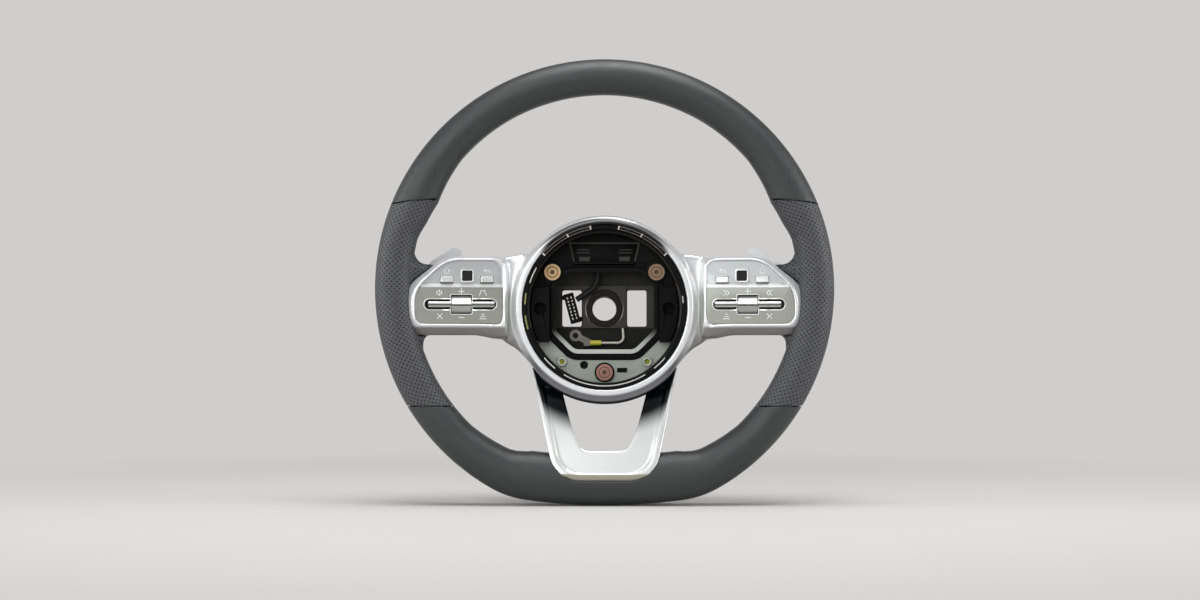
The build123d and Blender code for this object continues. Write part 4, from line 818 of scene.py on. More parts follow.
def dress_nodes(table: dict[str, tuple[float, Finish]], start: str = "") -> None:
    """Ease the edges of CAD nodes, give each its finish and report it.

    Args:
        table: Width of the eased edges and finish, by node.
        start: What the nodes' names start with.
    """
    for node, (width, finish) in table.items():
        piece = dress(Bench.ease_edges(start + node, width), finish)
        LOG.info("%s in %s", piece.name, finish.name)


def mount(piece: Piece, finish: Finish | HideFinish, body: str = WHEEL) -> Piece:
    """Dress a new piece, set it on its body and report it.

    Args:
        piece: The new piece.
        finish: Its finish.
        body: The body that carries it.

    Returns:
        The same piece.
    """
    piece.data.materials.clear()
    dress(piece, finish)
    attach(piece, body)
    LOG.info("%s on %s: %d faces", piece.name, body, len(piece.data.polygons))
    return piece


@dataclass(frozen=True)
class RimLine:
    """The rim's outer edge: a circle, two corners and a shallow flat, all tangent."""

    radius: float = 0.185
    rise: float = 0.0154
    plane: float = -0.054
    depth: float = 0.03
    flat_drop: float = 0.1592
    flat_radius: float = 0.48
    corner_radius: float = 0.08
    widths: tuple[Flat, ...] = (
        (90, 0.029), (60, 0.0292), (42, 0.03), (33, 0.0324), (27, 0.0342), (20, 0.0322), (15, 0.029),
        (4, 0.0294), (-10, 0.0304), (-24, 0.031), (-46, 0.0312), (-57, 0.034), (-68, 0.037),
        (-80, 0.0395), (-90, 0.0405),
    )

    @property
    def flat_z(self) -> float:
        """Height of the flat arc's centre."""
        return self.flat_radius - self.flat_drop

    @property
    def corner(self) -> Flat:
        """Centre of the right corner's arc."""
        drop = self.flat_z - self.rise
        inner = self.radius - self.corner_radius
        outer = self.flat_radius - self.corner_radius
        rise = (drop ** 2 + inner ** 2 - outer ** 2) / (2 * drop)
        return math.sqrt(inner ** 2 - rise ** 2), self.rise + rise

    @property
    def round_end(self) -> float:
        """Direction where the circle meets the corner."""
        x, z = self.corner
        return math.atan2(z - self.rise, x)

    @property
    def flat_start(self) -> float:
        """Direction where the corner meets the flat."""
        x, z = self.corner
        return math.atan2(z - self.flat_z, x)

    @property
    def flat_half(self) -> float:
        """Length of half the flat."""
        return self.flat_radius * (self.flat_start + math.pi / 2)

    @property
    def half_way(self) -> float:
        """Length of the outer edge from the middle of the flat to the top."""
        bend = self.corner_radius * (self.round_end - self.flat_start)
        return self.flat_half + bend + self.radius * (math.pi / 2 - self.round_end)

    def arc(self, angle: float) -> Place:
        """Centre and radius of the right half's arc that faces a direction.

        Args:
            angle: Outward direction, from -pi/2 at the flat to pi/2 at the top.

        Returns:
            X and Z of the centre, and the radius.
        """
        if angle >= self.round_end:
            return 0.0, self.rise, self.radius
        if angle >= self.flat_start:
            return (*self.corner, self.corner_radius)
        return 0.0, self.flat_z, self.flat_radius

    def width(self, angle: float) -> float:
        """Width of the section that faces a direction of the right half."""
        side = math.degrees(angle)
        for (high, wide), (low, narrow) in zip(self.widths, self.widths[1:]):
            if side >= low:
                return narrow + (wide - narrow) * (side - low) / (high - low)
        return self.widths[-1][1]

    def locate(self, x: float, z: float) -> Flat:
        """Find the section that a point of the right half lies in.

        Args:
            x: The point's X, not negative.
            z: The point's Z.

        Returns:
            The section's outward direction, and how far inwards of its middle the point is.
        """
        angle = math.atan2(z - self.rise, x)
        if angle < self.round_end:
            corner_x, corner_z = self.corner
            angle = math.atan2(z - corner_z, x - corner_x)
            if not self.flat_start <= angle <= self.round_end:
                angle = math.atan2(z - self.flat_z, x)
        centre_x, centre_z, radius = self.arc(angle)
        reach = math.hypot(x - centre_x, z - centre_z)
        return angle, radius - self.width(angle) / 2 - reach

    def distance(self, angle: float) -> float:
        """Length of outer edge from the middle of the flat to a direction of the right half."""
        if angle >= self.round_end:
            return self.half_way - self.radius * (math.pi / 2 - angle)
        if angle >= self.flat_start:
            return self.flat_half + self.corner_radius * (angle - self.flat_start)
        return self.flat_radius * (angle + math.pi / 2)

    def direction(self, distance: float) -> float:
        """Direction of the right half at a length of outer edge from the middle of the flat."""
        if distance < self.flat_half:
            return distance / self.flat_radius - math.pi / 2
        bend = self.corner_radius * (self.round_end - self.flat_start)
        if distance < self.flat_half + bend:
            return self.flat_start + (distance - self.flat_half) / self.corner_radius
        return self.round_end + (distance - self.flat_half - bend) / self.radius

    def inner_place(self, distance: float, girth: float, sunk: float) -> Matrix:
        """A frame on the leather: X along the rim, Z out of the surface.

        Args:
            distance: Length of outer edge from the middle of the flat, negative on the left.
            girth: Angle round the section from its inner edge towards the driver.
            sunk: How far below the surface the frame's origin lies.

        Returns:
            The frame's matrix.
        """
        angle = self.direction(abs(distance))
        centre_x, centre_z, radius = self.arc(angle)
        out = Vector((math.cos(angle), 0.0, math.sin(angle)))
        half = self.width(angle) / 2
        middle = Vector((centre_x, self.plane, centre_z)) + out * (radius - half)
        spread = Vector((0.0, -1.0, 0.0))
        point = middle - out * half * math.cos(girth) + spread * self.depth / 2 * math.sin(girth)
        normal = (-out * math.cos(girth) / half + spread * math.sin(girth) * 2 / self.depth).normalized()
        along = Vector((-out.z, 0.0, out.x))
        point -= normal * sunk
        if distance < 0:
            point.x, normal.x, along.x = -point.x, -normal.x, -along.x
        return Bench.axes(point, along, normal.cross(along), normal)


@dataclass
class LeatherRim:
    """The four lengths of padded leather, their tucked seams and the stitching inside."""

    line: RimLine = RimLine()
    voxel: float = 0.0013
    rounds: int = 14
    girth_radius: float = 0.0155
    root_start: float = 0.0165
    fold_limit: float = 0.78
    root_limit: float = 1.08
    pull_span: float = 0.04
    stitch_pitch: float = 0.0046
    stitch_length: float = 0.0036
    stitch_radius: float = 0.00042
    stitch_girth: float = 0.42
    stitch_sunk: float = 0.0001
    stitch_slant: float = math.radians(32.0)
    stitch_stretch: float = 1.12
    stitch_taper: float = 0.4
    stitch_bow: float = 0.9
    seam_room: float = 0.003
    root_span: Flat = (math.radians(-16.0), math.radians(10.0))
    trim_half: float = 0.046
    upper_seam: Place = (0.152, 0.0848, 9.6)
    lower_seam: Place = (0.142, -0.0796, -4.0)
    tuck_thickness: float = 0.0016
    tuck_depth: float = 0.0006

    def build(self) -> None:
        """Model and dress the whole rim."""
        for node in ("leather_top", "leather_bottom"):
            self.cover(node, LEATHER, "leather_smooth")
        for side in Side:
            self.cover(f"leather_{side.label}_grip", PUNCHED, "leather_perforated")
            self.tuck(side, "upper", self.upper_seam)
            self.tuck(side, "lower", self.lower_seam)
        self.stitching()

    def cover(self, node: str, finish: HideFinish, slot: str) -> Piece:
        """One length of leather, softened from its CAD solid and given its flat map.

        Args:
            node: The CAD node that it stands for.
            finish: Plain or punched leather.
            slot: The record's material slot; not used.

        Returns:
            The new piece.
        """
        piece = Bench.copy_node(node, node.replace("leather", "cover"))
        Bench.soften(piece, self.voxel, self.rounds)
        self.even_out(piece)
        self.lay_map(piece, around_flat=node == "leather_bottom")
        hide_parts(node)
        return mount(piece, finish)

    def even_out(self, piece: Piece) -> None:
        """Draw the leather onto the rim's true oval, except at folds and where the root leaves it.

        Args:
            piece: The leather.
        """
        line = self.line
        for vertex in piece.data.vertices:
            point = vertex.co
            angle, inward = line.locate(abs(point.x), point.z)
            half = line.width(angle) / 2
            forward = line.plane - point.y
            swell = math.hypot(inward / half, forward * 2 / line.depth)
            pull = min(
                (swell - self.fold_limit) / self.pull_span, (self.root_limit - swell) / self.pull_span, 1.0
            )
            if pull <= 0:
                continue
            gain = 1.0 + (1.0 / swell - 1.0) * pull
            out = Vector((math.copysign(math.cos(angle), point.x), 0.0, math.sin(angle)))
            vertex.co = point - out * inward * (gain - 1.0) + Vector((0.0, -forward * (gain - 1.0), 0.0))

    def lay_map(self, piece: Piece, around_flat: bool) -> None:
        """Write the map: length along the rim, and girth from the sewn inner edge.

        Args:
            piece: The leather.
            around_flat: Whether the length runs across the flat rather than over the top.
        """
        spots = [self.spot(vertex.co, around_flat) for vertex in piece.data.vertices]
        layer = piece.data.uv_layers.new(name=HideFinish.map_name)
        scale = HideFinish.map_scale
        full = 2 * math.pi * self.girth_radius
        for face in piece.data.polygons:
            lead = spots[face.vertices[0]][1]
            for loop in face.loop_indices:
                along, girth = spots[piece.data.loops[loop].vertex_index]
                if girth - lead > full / 2:
                    girth -= full
                elif lead - girth > full / 2:
                    girth += full
                layer.data[loop].uv = (along * scale, girth * scale)

    def spot(self, point: Vector, around_flat: bool) -> Flat:
        """Where a point of the leather lies on the flat hide.

        Args:
            point: The point.
            around_flat: Whether lengths on the left are negative.

        Returns:
            Length along the rim and girth from the inner edge.
        """
        angle, inward = self.line.locate(abs(point.x), point.z)
        along = self.line.distance(angle)
        if point.x < 0:
            along = -along if around_flat else 2 * self.line.half_way - along
        forward = self.line.plane - point.y
        girth = math.atan2(forward, inward) % (2 * math.pi) * self.girth_radius
        if inward > self.root_start:
            quarter = self.girth_radius * math.pi / 2
            girth = quarter - inward if forward > 0 else 4 * quarter - (quarter - inward)
        return along, girth

    def tuck(self, side: Side, place: str, seam: Place) -> Piece:
        """The dark folded edge at the bottom of the groove between two lengths.

        Args:
            side: The side of the wheel.
            place: Upper or lower seam.
            seam: X and Z of the groove's middle, and its tilt in degrees on the left side.

        Returns:
            The new piece.
        """
        x, z, tilt = seam
        angle, _ = self.line.locate(x, z)
        half = self.line.width(angle) / 2
        Bench.clear()
        bpy.ops.mesh.primitive_cylinder_add(vertices=48, radius=1.0, depth=self.tuck_thickness)
        piece = Bench.named(f"seam_tuck_{side.label}_{place}")
        piece.scale = (half - self.tuck_depth, self.line.depth / 2 - self.tuck_depth, 1.0)
        Bench.round_edges(Bench.settle(piece), self.tuck_thickness * EDGE_SHARE)
        lean = Matrix.Rotation(side.value * math.radians(tilt), 4, "Y")
        piece.data.transform(Matrix.Translation((side.value * x, self.line.plane, z)) @ lean)
        return mount(Bench.smooth(piece), THREAD)

    def stitching(self) -> None:
        """Slanted stitches along the inner edge of each length, modelled once and copied."""
        line = self.line
        upper, lower = (
            line.distance(line.locate(x, z)[0]) for x, z, tilt in (self.upper_seam, self.lower_seam)
        )
        root_low, root_high = (line.distance(angle) for angle in self.root_span)
        room = self.seam_room
        runs = {
            "top": ((upper + room, line.half_way),),
            "grips": ((lower + room, root_low), (root_high, upper - room)),
            "bottom": ((self.trim_half, lower - room),),
        }
        for label, spans in runs.items():
            places = []
            for first, last in spans:
                for index in range(int((last - first) / self.stitch_pitch)):
                    spot = first + (index + 0.5) * self.stitch_pitch
                    places += [self.stitch_place(-spot), self.stitch_place(spot)]
            piece = Bench.copies(self.stitch(), f"stitching_{label}", places)
            mount(Bench.smooth(piece, ROUND_ANGLE), THREAD)

    def stitch(self) -> Piece:
        """One plump stitch along X.

        Returns:
            The new piece.
        """
        Bench.clear()
        bpy.ops.mesh.primitive_cylinder_add(
            vertices=6, radius=self.stitch_radius, depth=self.stitch_length, rotation=(0.0, math.pi / 2, 0.0)
        )
        piece = Bench.settle(Bench.named("stitch"))
        with Bench.editing(piece, lambda centre, normal: abs(normal.x) > FACING):
            bpy.ops.mesh.extrude_region_move(TRANSFORM_OT_translate={"value": (0.0, 0.0, 0.0)})
            bpy.ops.transform.resize(value=(self.stitch_stretch, self.stitch_taper, self.stitch_taper))
        for vertex in piece.data.vertices:
            bow = 1.0 - (2.0 * vertex.co.x / (self.stitch_length * self.stitch_stretch)) ** 2
            vertex.co.z += self.stitch_radius * self.stitch_bow * (bow - 0.5)
        return piece

    def stitch_place(self, distance: float) -> Matrix:
        """Where a stitch lies, slanted across the sewn edge."""
        slant = Matrix.Rotation(math.copysign(self.stitch_slant, distance), 4, "Z")
        return self.line.inner_place(distance, self.stitch_girth, self.stitch_sunk) @ slant


class Icon(Enum):
    """Plain pictograms as strokes from one point to another, on a square about 2 across."""

    PLUS = (((-1, 0), (1, 0)), ((0, -1), (0, 1)))
    MINUS = (((-1, 0), (1, 0)),)
    ROOF = (((-1.1, -0.2), (0, 0.9)), ((0, 0.9), (1.1, -0.2)), ((-0.7, -0.2), (-0.7, -1)),
            ((0.7, -0.2), (0.7, -1)), ((-0.7, -1), (0.7, -1)))
    RETURN = (((-1, 0), (-0.3, 0.7)), ((-1, 0), (-0.3, -0.7)), ((-1, 0), (1, 0)), ((1, 0), (1, -0.9)))
    WEDGE = (((-1.2, -0.8), (-0.6, 0.8)), ((-0.6, 0.8), (0.6, 0.8)), ((0.6, 0.8), (1.2, -0.8)))
    CROSS = (((-0.9, -0.9), (0.9, 0.9)), ((-0.9, 0.9), (0.9, -0.9)))
    BARS = (((-1.2, -0.9), (1.2, -0.9)), ((-0.8, -0.1), (0.8, -0.1)), ((-0.4, 0.7), (0.4, 0.7)))
    FORWARD = (((-0.9, 0.9), (0, 0)), ((0, 0), (-0.9, -0.9)), ((0.1, 0.9), (1, 0)), ((1, 0), (0.1, -0.9)))
    BACKWARD = (((0.9, 0.9), (0, 0)), ((0, 0), (0.9, -0.9)), ((-0.1, 0.9), (-1, 0)), ((-1, 0), (-0.1, -0.9)))
    SPEAKER = (((-1, -0.4), (-1, 0.4)), ((-1, 0.4), (0, 1)), ((0, 1), (0, -1)), ((0, -1), (-1, -0.4)),
               ((0.6, -0.5), (0.6, 0.5)))


@dataclass
class SpokeSwitches:
    """One side spoke: panel, keys, roller, rocker bars, touch pad and their pictograms."""

    side: Side
    spoke: Place = (-0.117, -0.059, 0.0006)
    lean: float = math.radians(6.0)
    stroke: float = 0.0006
    stroke_taper: Place = (0.9, 0.7, 1.0)
    relief: float = 0.00016
    icon_half: float = 0.0023
    icon_places: tuple[Place, ...] = (
        (-0.0097, 0.0288, -0.0018), (0.0225, 0.0288, -0.0018), (-0.0153, 0.0106, 0.0), (0.002, 0.0118, 0.0),
        (0.0192, 0.0106, 0.0), (-0.0153, -0.0082, 0.0), (0.002, -0.0093, 0.0), (0.0192, -0.0082, 0.0),
    )
    pad_place: Flat = (0.0067, 0.0244)
    pad_half: Flat = (0.0042, 0.0042)
    pad_corner: float = 0.0012
    pad_share: float = 1.3
    slot_place: Flat = (0.00115, 0.0013)
    slot_half: Flat = (0.02875, 0.00415)
    roller_place: Flat = (0.002, 0.0013)
    roller_half: Flat = (0.0084, 0.0078)
    roller_corner: float = 0.001
    roller_share: float = 0.8
    hoop_width: float = 0.0008
    hoop_height: float = 0.0004
    hoop_foot: float = -0.0001

    def build(self) -> None:
        """Dress the side's CAD nodes, draw its pictograms and lay the bright hoops."""
        dress_nodes({
            "switch_panel": (0.0004, PANEL_SILVER), "outer_rocker": (0.0004, BAR_SILVER),
            "inner_rocker": (0.0004, BAR_SILVER), "roller": (0.0005, ROLLER_SILVER),
            "outer_key": (0.0005, KEY_SILVER), "inner_key": (0.0005, KEY_SILVER),
            "touch_pad": (0.0004, GLOSS_BLACK), "switch_housing": (0.0002, BLACK_MOULDED),
            "circuit_board": (0.0001, GREEN_BOARD), "key_shaft": (0.0001, BRIGHT_STEEL),
        }, f"{self.side.label}_")
        self.pictograms()
        slot_round = self.slot_half[1]
        self.surround("pad_surround", self.pad_place, self.pad_half, self.pad_corner, self.pad_share)
        self.surround("slot_surround", self.slot_place, self.slot_half, slot_round, 1.0, self.roller_gap)
        self.surround(
            "roller_surround", self.roller_place, self.roller_half, self.roller_corner, self.roller_share
        )

    @property
    def flip(self) -> float:
        """1 on the left side, which the sizes are given for, and -1 on the right."""
        return -float(self.side.value)

    def point(self, u: float, v: float, w: float) -> Vector:
        """A point of the spoke's own plane: u towards the hub, v up, w towards the driver."""
        x, y, z = self.spoke
        across = x + u * math.cos(self.lean) + w * math.sin(self.lean)
        back = y + u * math.sin(self.lean) - w * math.cos(self.lean)
        return Vector((across * self.flip, back, z + v))

    @property
    def out(self) -> Vector:
        """Direction out of the spoke's plane."""
        return (self.point(0.0, 0.0, 1.0) - self.point(0.0, 0.0, 0.0)).normalized()

    @property
    def roller_gap(self) -> Flat:
        """Where the roller's opening starts and ends along the slot, from the slot's middle."""
        middle = (self.roller_place[0] - self.slot_place[0]) * self.flip
        half = self.roller_half[0] + self.hoop_width / 2
        return middle - half, middle + half

    def surround(
        self, name: str, place: Flat, half: Flat, corner: float, share: float, gap: Flat | None = None
    ) -> Piece:
        """A bright hoop round an opening of the panel.

        Args:
            name: What it goes round.
            place: Its middle towards the hub and upwards.
            half: Half the opening's lengths.
            corner: Radius of the opening's corners.
            share: Its width as a share of the common width.
            gap: Where it is left open along its length, if it is.

        Returns:
            The new piece.
        """
        width = self.hoop_width * share
        piece = Bench.hoop(f"{self.side.label}_{name}", half, corner, width, self.hoop_height)
        if gap:
            Bench.part(piece, gap)
        along = (self.point(1.0, 0.0, 0.0) - self.point(0.0, 0.0, 0.0)).normalized() * self.flip
        foot = self.point(*place, self.hoop_foot)
        piece.data.transform(Bench.axes(foot, along, self.out.cross(along), self.out))
        return mount(piece, HOOP_SILVER)

    @property
    def icons(self) -> tuple[Icon, ...]:
        """The side's pictograms, in the order of their places."""
        left = self.side is Side.LEFT
        return (
            Icon.ROOF, Icon.RETURN, Icon.SPEAKER if left else Icon.BACKWARD, Icon.PLUS,
            Icon.WEDGE if left else Icon.FORWARD, Icon.CROSS, Icon.MINUS, Icon.BARS,
        )

    def pictograms(self) -> Piece:
        """All the side's pictograms as one thin raised print.

        Returns:
            The new piece.
        """
        Bench.clear()
        bpy.ops.mesh.primitive_cube_add(size=1.0)
        model = Bench.settle(Bench.named("stroke"))
        with Bench.editing(model, lambda centre, normal: normal.z > FACING):
            bpy.ops.transform.resize(value=self.stroke_taper)
        places = []
        for icon, middle in zip(self.icons, self.icon_places):
            places += [self.stroke_place(middle, *ends) for ends in icon.value]
        piece = Bench.copies(model, f"{self.side.label}_pictograms", places)
        return mount(Bench.face_out(piece), ICON_PALE)

    def stroke_place(self, middle: Place, first: Flat, last: Flat) -> Matrix:
        """Place one stroke of a pictogram on the panel.

        Args:
            middle: The pictogram's middle in the spoke's plane.
            first: Where the stroke starts, in half sizes as seen by the driver.
            last: Where it ends.

        Returns:
            The matrix of a unit cube.
        """
        u, v, w = middle
        start, end = (
            self.point(u + self.flip * across * self.icon_half, v + up * self.icon_half, w)
            for across, up in (first, last)
        )
        run = end - start
        along = run.normalized()
        across = self.out.cross(along) * self.stroke
        length = run.length + self.stroke
        return Bench.axes((start + end) / 2, along * length, across, self.out * self.relief)


@dataclass
class SilverMouldings:
    """The one-piece bezel round the hub and switches, and the lower spoke's trim."""

    voxel: float = 0.0007
    bezel_rounds: int = 8
    trim_rounds: int = 14
    chamfer_top: float = -0.1338
    chamfer_slope: float = 0.6
    chamfer_facing: float = -0.2
    flow_inner: Flat = (0.0735, 0.0775)
    flow_outer: Flat = (0.0855, 0.0905)
    flow_rounds: int = 90
    ring_drop: float = 0.0012
    drop_reach: Flat = (0.068, 0.073)
    drop_side: Flat = (0.045, 0.062)
    chin: float = 0.0022
    chin_reach: Flat = (0.0722, 0.0748)
    chin_depth: Flat = (0.036, 0.064)
    sag: float = 0.0032
    sag_rise: Flat = (0.069, 0.081)
    sag_fall: Flat = (0.084, 0.106)
    sag_depth: Flat = (0.012, 0.02)
    leg_top: Flat = (-0.0645, -0.0588)
    leg_reach: Place = (0.002, 0.0043, 0.009)

    def build(self) -> None:
        """Soften both mouldings from their CAD solids and dress them."""
        bezel = self.mould("front_bezel", "bezel_moulding", self.bezel_rounds, BEZEL_SILVER)
        self.flow(bezel)
        trim = self.mould("lower_spoke_trim", "lower_trim_moulding", self.trim_rounds, TRIM_SILVER)
        self.chamfer(trim)
        self.lengthen(trim)

    def mould(self, node: str, name: str, rounds: int, finish: Finish) -> Piece:
        """A smooth moulding in place of a CAD node.

        Args:
            node: The CAD node.
            name: Name of the moulding.
            rounds: Rounds of smoothing.
            finish: Its finish.

        Returns:
            The new piece.
        """
        piece = Bench.copy_node(node, name)
        Bench.soften(piece, self.voxel, rounds)
        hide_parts(node)
        return mount(piece, finish)

    @staticmethod
    def step(value: float, span: Flat) -> float:
        """A smooth step from 0 to 1 over a span."""
        share = min(max((value - span[0]) / (span[1] - span[0]), 0.0), 1.0)
        return share * share * (3.0 - 2.0 * share)

    def flow(self, bezel: Piece) -> None:
        """Lower the ring's outer edge, its chin and the collars' undersides, and blend the collars in.

        Args:
            bezel: The moulding.
        """
        group = bezel.vertex_groups.new(name="flow")
        for vertex in bezel.data.vertices:
            point = vertex.co
            across = abs(point.x)
            reach = math.hypot(point.x, point.z)
            soft = self.step(reach, self.flow_inner) * (1.0 - self.step(across, self.flow_outer))
            if soft > 0:
                group.add([vertex.index], soft, "REPLACE")
            near = 1.0 - self.step(across, self.drop_side)
            point.z -= self.ring_drop * self.step(reach, self.drop_reach) * near
            low = self.step(-point.z, self.chin_depth) * near
            point.z -= self.chin * self.step(reach, self.chin_reach) * low
            low = self.step(-point.z, self.sag_depth) * self.step(across, self.sag_rise)
            point.z -= self.sag * low * (1.0 - self.step(across, self.sag_fall))
        Bench.apply(bezel, "SMOOTH", factor=0.5, iterations=self.flow_rounds, vertex_group=group.name)
        bezel.vertex_groups.clear()

    def chamfer(self, trim: Piece) -> None:
        """Lean the front of the trim's lowest lip back, away from the driver."""
        for vertex in trim.data.vertices:
            if vertex.co.z < self.chamfer_top and vertex.normal.y < self.chamfer_facing:
                vertex.co.y += self.chamfer_slope * (self.chamfer_top - vertex.co.z)

    def lengthen(self, trim: Piece) -> None:
        """Carry the tops of both legs up behind the ring, in line with the legs."""
        across, back, up = self.leg_reach
        for vertex in trim.data.vertices:
            share = self.step(vertex.co.z, self.leg_top)
            vertex.co += Vector((math.copysign(across, vertex.co.x), back, up)) * share


@dataclass(frozen=True)
class Strip:
    """The section of a thin strip that is bent round the column axis."""

    radius: float
    wide: float
    tall: float
    edge_share: float = 0.2

    def bend(self, name: str, span: Flat) -> Piece:
        """Model the strip on the plane of Y 0, raised towards the driver.

        Args:
            name: Name of the piece.
            span: Its two ends in degrees from straight up, clockwise for the driver.

        Returns:
            The new piece.
        """
        Bench.clear()
        bpy.ops.mesh.primitive_grid_add(x_subdivisions=24, y_subdivisions=2, size=1.0)
        piece = Bench.named(name)
        Bench.apply(piece, "SOLIDIFY", thickness=self.tall, offset=1.0)
        edge = min(self.wide, self.tall) * self.edge_share
        Bench.apply(piece, "BEVEL", width=edge, segments=2, limit_method="ANGLE")
        first, last = (math.radians(end) for end in span)
        for vertex in piece.data.vertices:
            turn = first + (last - first) * (vertex.co.x + 0.5)
            reach = self.radius + self.wide * vertex.co.y
            vertex.co = Vector((reach * math.sin(turn), -vertex.co.z, reach * math.cos(turn)))
        return Bench.smooth(Bench.face_out(piece))


@dataclass
class HubWell:
    """The open hub: liner, carrier plate, shoulder bolts, wiring, casting and column boss."""

    plug_place: Place = (-0.0269, -0.0125, 0.0003)
    plug_tilt: float = math.radians(15.0)
    contact_count: int = 7
    contact_pitch: float = 0.0029
    contact_size: Place = (0.0011, 0.0009, 0.0015)
    contact_row: float = 0.0016
    contact_edge: float = 0.0002
    tray_ribs: tuple[tuple[float, float, float, float], ...] = (
        (0.0175, 0.0482, 0.011, 0.001), (0.0175, 0.0458, 0.011, 0.001), (0.0165, 0.0405, 0.009, 0.004),
    )
    rib_height: float = 0.0012
    rib_edge: float = 0.0003
    tray_floor: float = -0.0206
    tray_foot: float = -0.0205
    tray_thickness: float = 0.0005
    tray_edge: float = 0.0002
    tray_top_corner: Flat = (0.0268, 0.0524)
    tray_low_corner: Flat = (0.0231, 0.037)
    liner_front: float = -0.05
    clip_tab: Strip = Strip(0.0652, 0.003, 0.0006)
    tab_half: float = 0.5
    tab_turns: tuple[float, ...] = (10.1, 27.3, 49.1)
    clip_edges: tuple[Strip, ...] = (Strip(0.0662, 0.0006, 0.0003), Strip(0.0639, 0.0004, 0.0003))
    edge_arcs: tuple[Flat, ...] = ((10.8, 26.7), (28.0, 48.4))
    liner_lip: Strip = Strip(0.0636, 0.0008, 0.0003)
    lip_arcs: tuple[Flat, ...] = (
        (149.0, 211.0), (130.0, 141.0), (-141.0, -130.0), (-72.0, -60.0), (82.0, 87.0),
    )
    clip_strip: Strip = Strip(0.0644, 0.0012, 0.0003)
    strip_arcs: tuple[Flat, ...] = ((-88.0, -80.0), (-106.0, -96.0))
    plate_front: float = -0.022
    plate_skirt: Strip = Strip(0.0618, 0.0034, 0.001)
    skirt_arc: Flat = (116.0, 244.0)
    groove_corners: tuple[Flat, ...] = (
        (0.0493, 0.0234), (0.0342, 0.0384), (0.0282, -0.0428), (0.0493, -0.0217),
    )
    groove_width: float = 0.0052
    groove_round: float = 0.006
    bead_corners: tuple[Flat, ...] = ((0.0293, 0.0542), (0.0248, 0.0352))
    bead_width: float = 0.0012
    bead_round: float = 0.001
    band_height: float = 0.0004
    band_edge: float = 0.0001
    peg_place: Place = (0.035, -0.0232, -0.044)
    peg_radius: float = 0.0021
    peg_length: float = 0.002
    peg_hollow: float = 0.0009
    peg_wall: float = 0.00063

    def build(self) -> None:
        """Dress the hub's CAD nodes and add its small moulded details."""
        dress_nodes({
            "well_liner": (0.0003, WELL_BLACK), "carrier_plate": (0.0005, PLATE_GREY),
            "hub_casting": (0.0006, DARK_CASTING), "column_boss": (0.0006, BOSS_BROWN),
            "shoulder_bolts": (0.0005, BRASS), "bolt_grommets": (0.0003, RUBBER),
            "guide_pegs": (0.0003, NYLON), "ring_terminal": (0.0002, TINNED),
            "crimp_sleeve": (0.0003, CRIMP_YELLOW), "earth_wire": (0.0001, PALE_WIRE),
            "harness": (0.0002, LOOM_TAPE), "harness_plug": (0.0004, WELL_BLACK),
            "rim_core": (0.0005, BRIGHT_STEEL), "left_contact_block": (0.0006, WELL_BLACK),
            "right_contact_block": (0.0006, WELL_BLACK),
        })
        self.plug_contacts()
        self.tray_plate()
        self.tray_details()
        self.liner_clips()
        # The near-black band round the lip is painted shade for the groove beside it.
        groove = self.band("lip_groove", self.groove_corners, self.groove_width, self.groove_round)
        mount(groove, WELL_BLACK)
        bead = self.band("tray_bead", self.bead_corners, self.bead_width, self.bead_round)
        mount(bead, TRAY_GREY)
        skirt = self.plate_skirt.bend("plate_skirt", self.skirt_arc)
        mount(Bench.shift(skirt, (0.0, self.plate_front, 0.0)), PLATE_GREY)
        self.peg_cores()

    def plug_contacts(self) -> Piece:
        """Two rows of pale contacts on the plug's face.

        Returns:
            The new piece.
        """
        turn = Matrix.Rotation(-self.plug_tilt, 4, "Y")
        places = []
        for row in (-self.contact_row, self.contact_row):
            for index in range(self.contact_count):
                along = (index - (self.contact_count - 1) / 2) * self.contact_pitch
                offset = turn @ Vector((row, 0.0, along))
                places.append(Matrix.Translation(Vector(self.plug_place) + offset) @ turn)
        model = Bench.block("plug_contact", self.contact_size, self.contact_edge)
        return mount(Bench.copies(model, "plug_contacts", places), CONTACT_PALE)

    def tray_details(self) -> Piece:
        """Low ribs and two raised pads on the floor of the plate's tray.

        Returns:
            The new piece.
        """
        made = []
        for sign in (-1.0, 1.0):
            for x, z, wide, tall in self.tray_ribs:
                rib = Bench.block("tray_rib", (wide, self.rib_height, tall), self.rib_edge)
                made.append(Bench.shift(rib, (sign * x, self.tray_floor, z)))
        return mount(Bench.join(made, "tray_ribs"), TRAY_GREY)

    def tray_plate(self) -> Piece:
        """The black moulded floor of the plate's tray.

        Returns:
            The new piece.
        """
        Bench.clear()
        bpy.ops.mesh.primitive_plane_add(size=1.0)
        piece = Bench.named("tray_floor_plate")
        for vertex in piece.data.vertices:
            half, z = self.tray_top_corner if vertex.co.y > 0 else self.tray_low_corner
            vertex.co = Vector((math.copysign(half, vertex.co.x), self.tray_foot, z))
        with Bench.editing(piece):
            lift = {"value": (0.0, -self.tray_thickness, 0.0)}
            bpy.ops.mesh.extrude_region_move(TRANSFORM_OT_translate=lift)
        Bench.round_edges(Bench.face_out(piece), self.tray_edge)
        return mount(Bench.smooth(piece), WELL_BLACK)

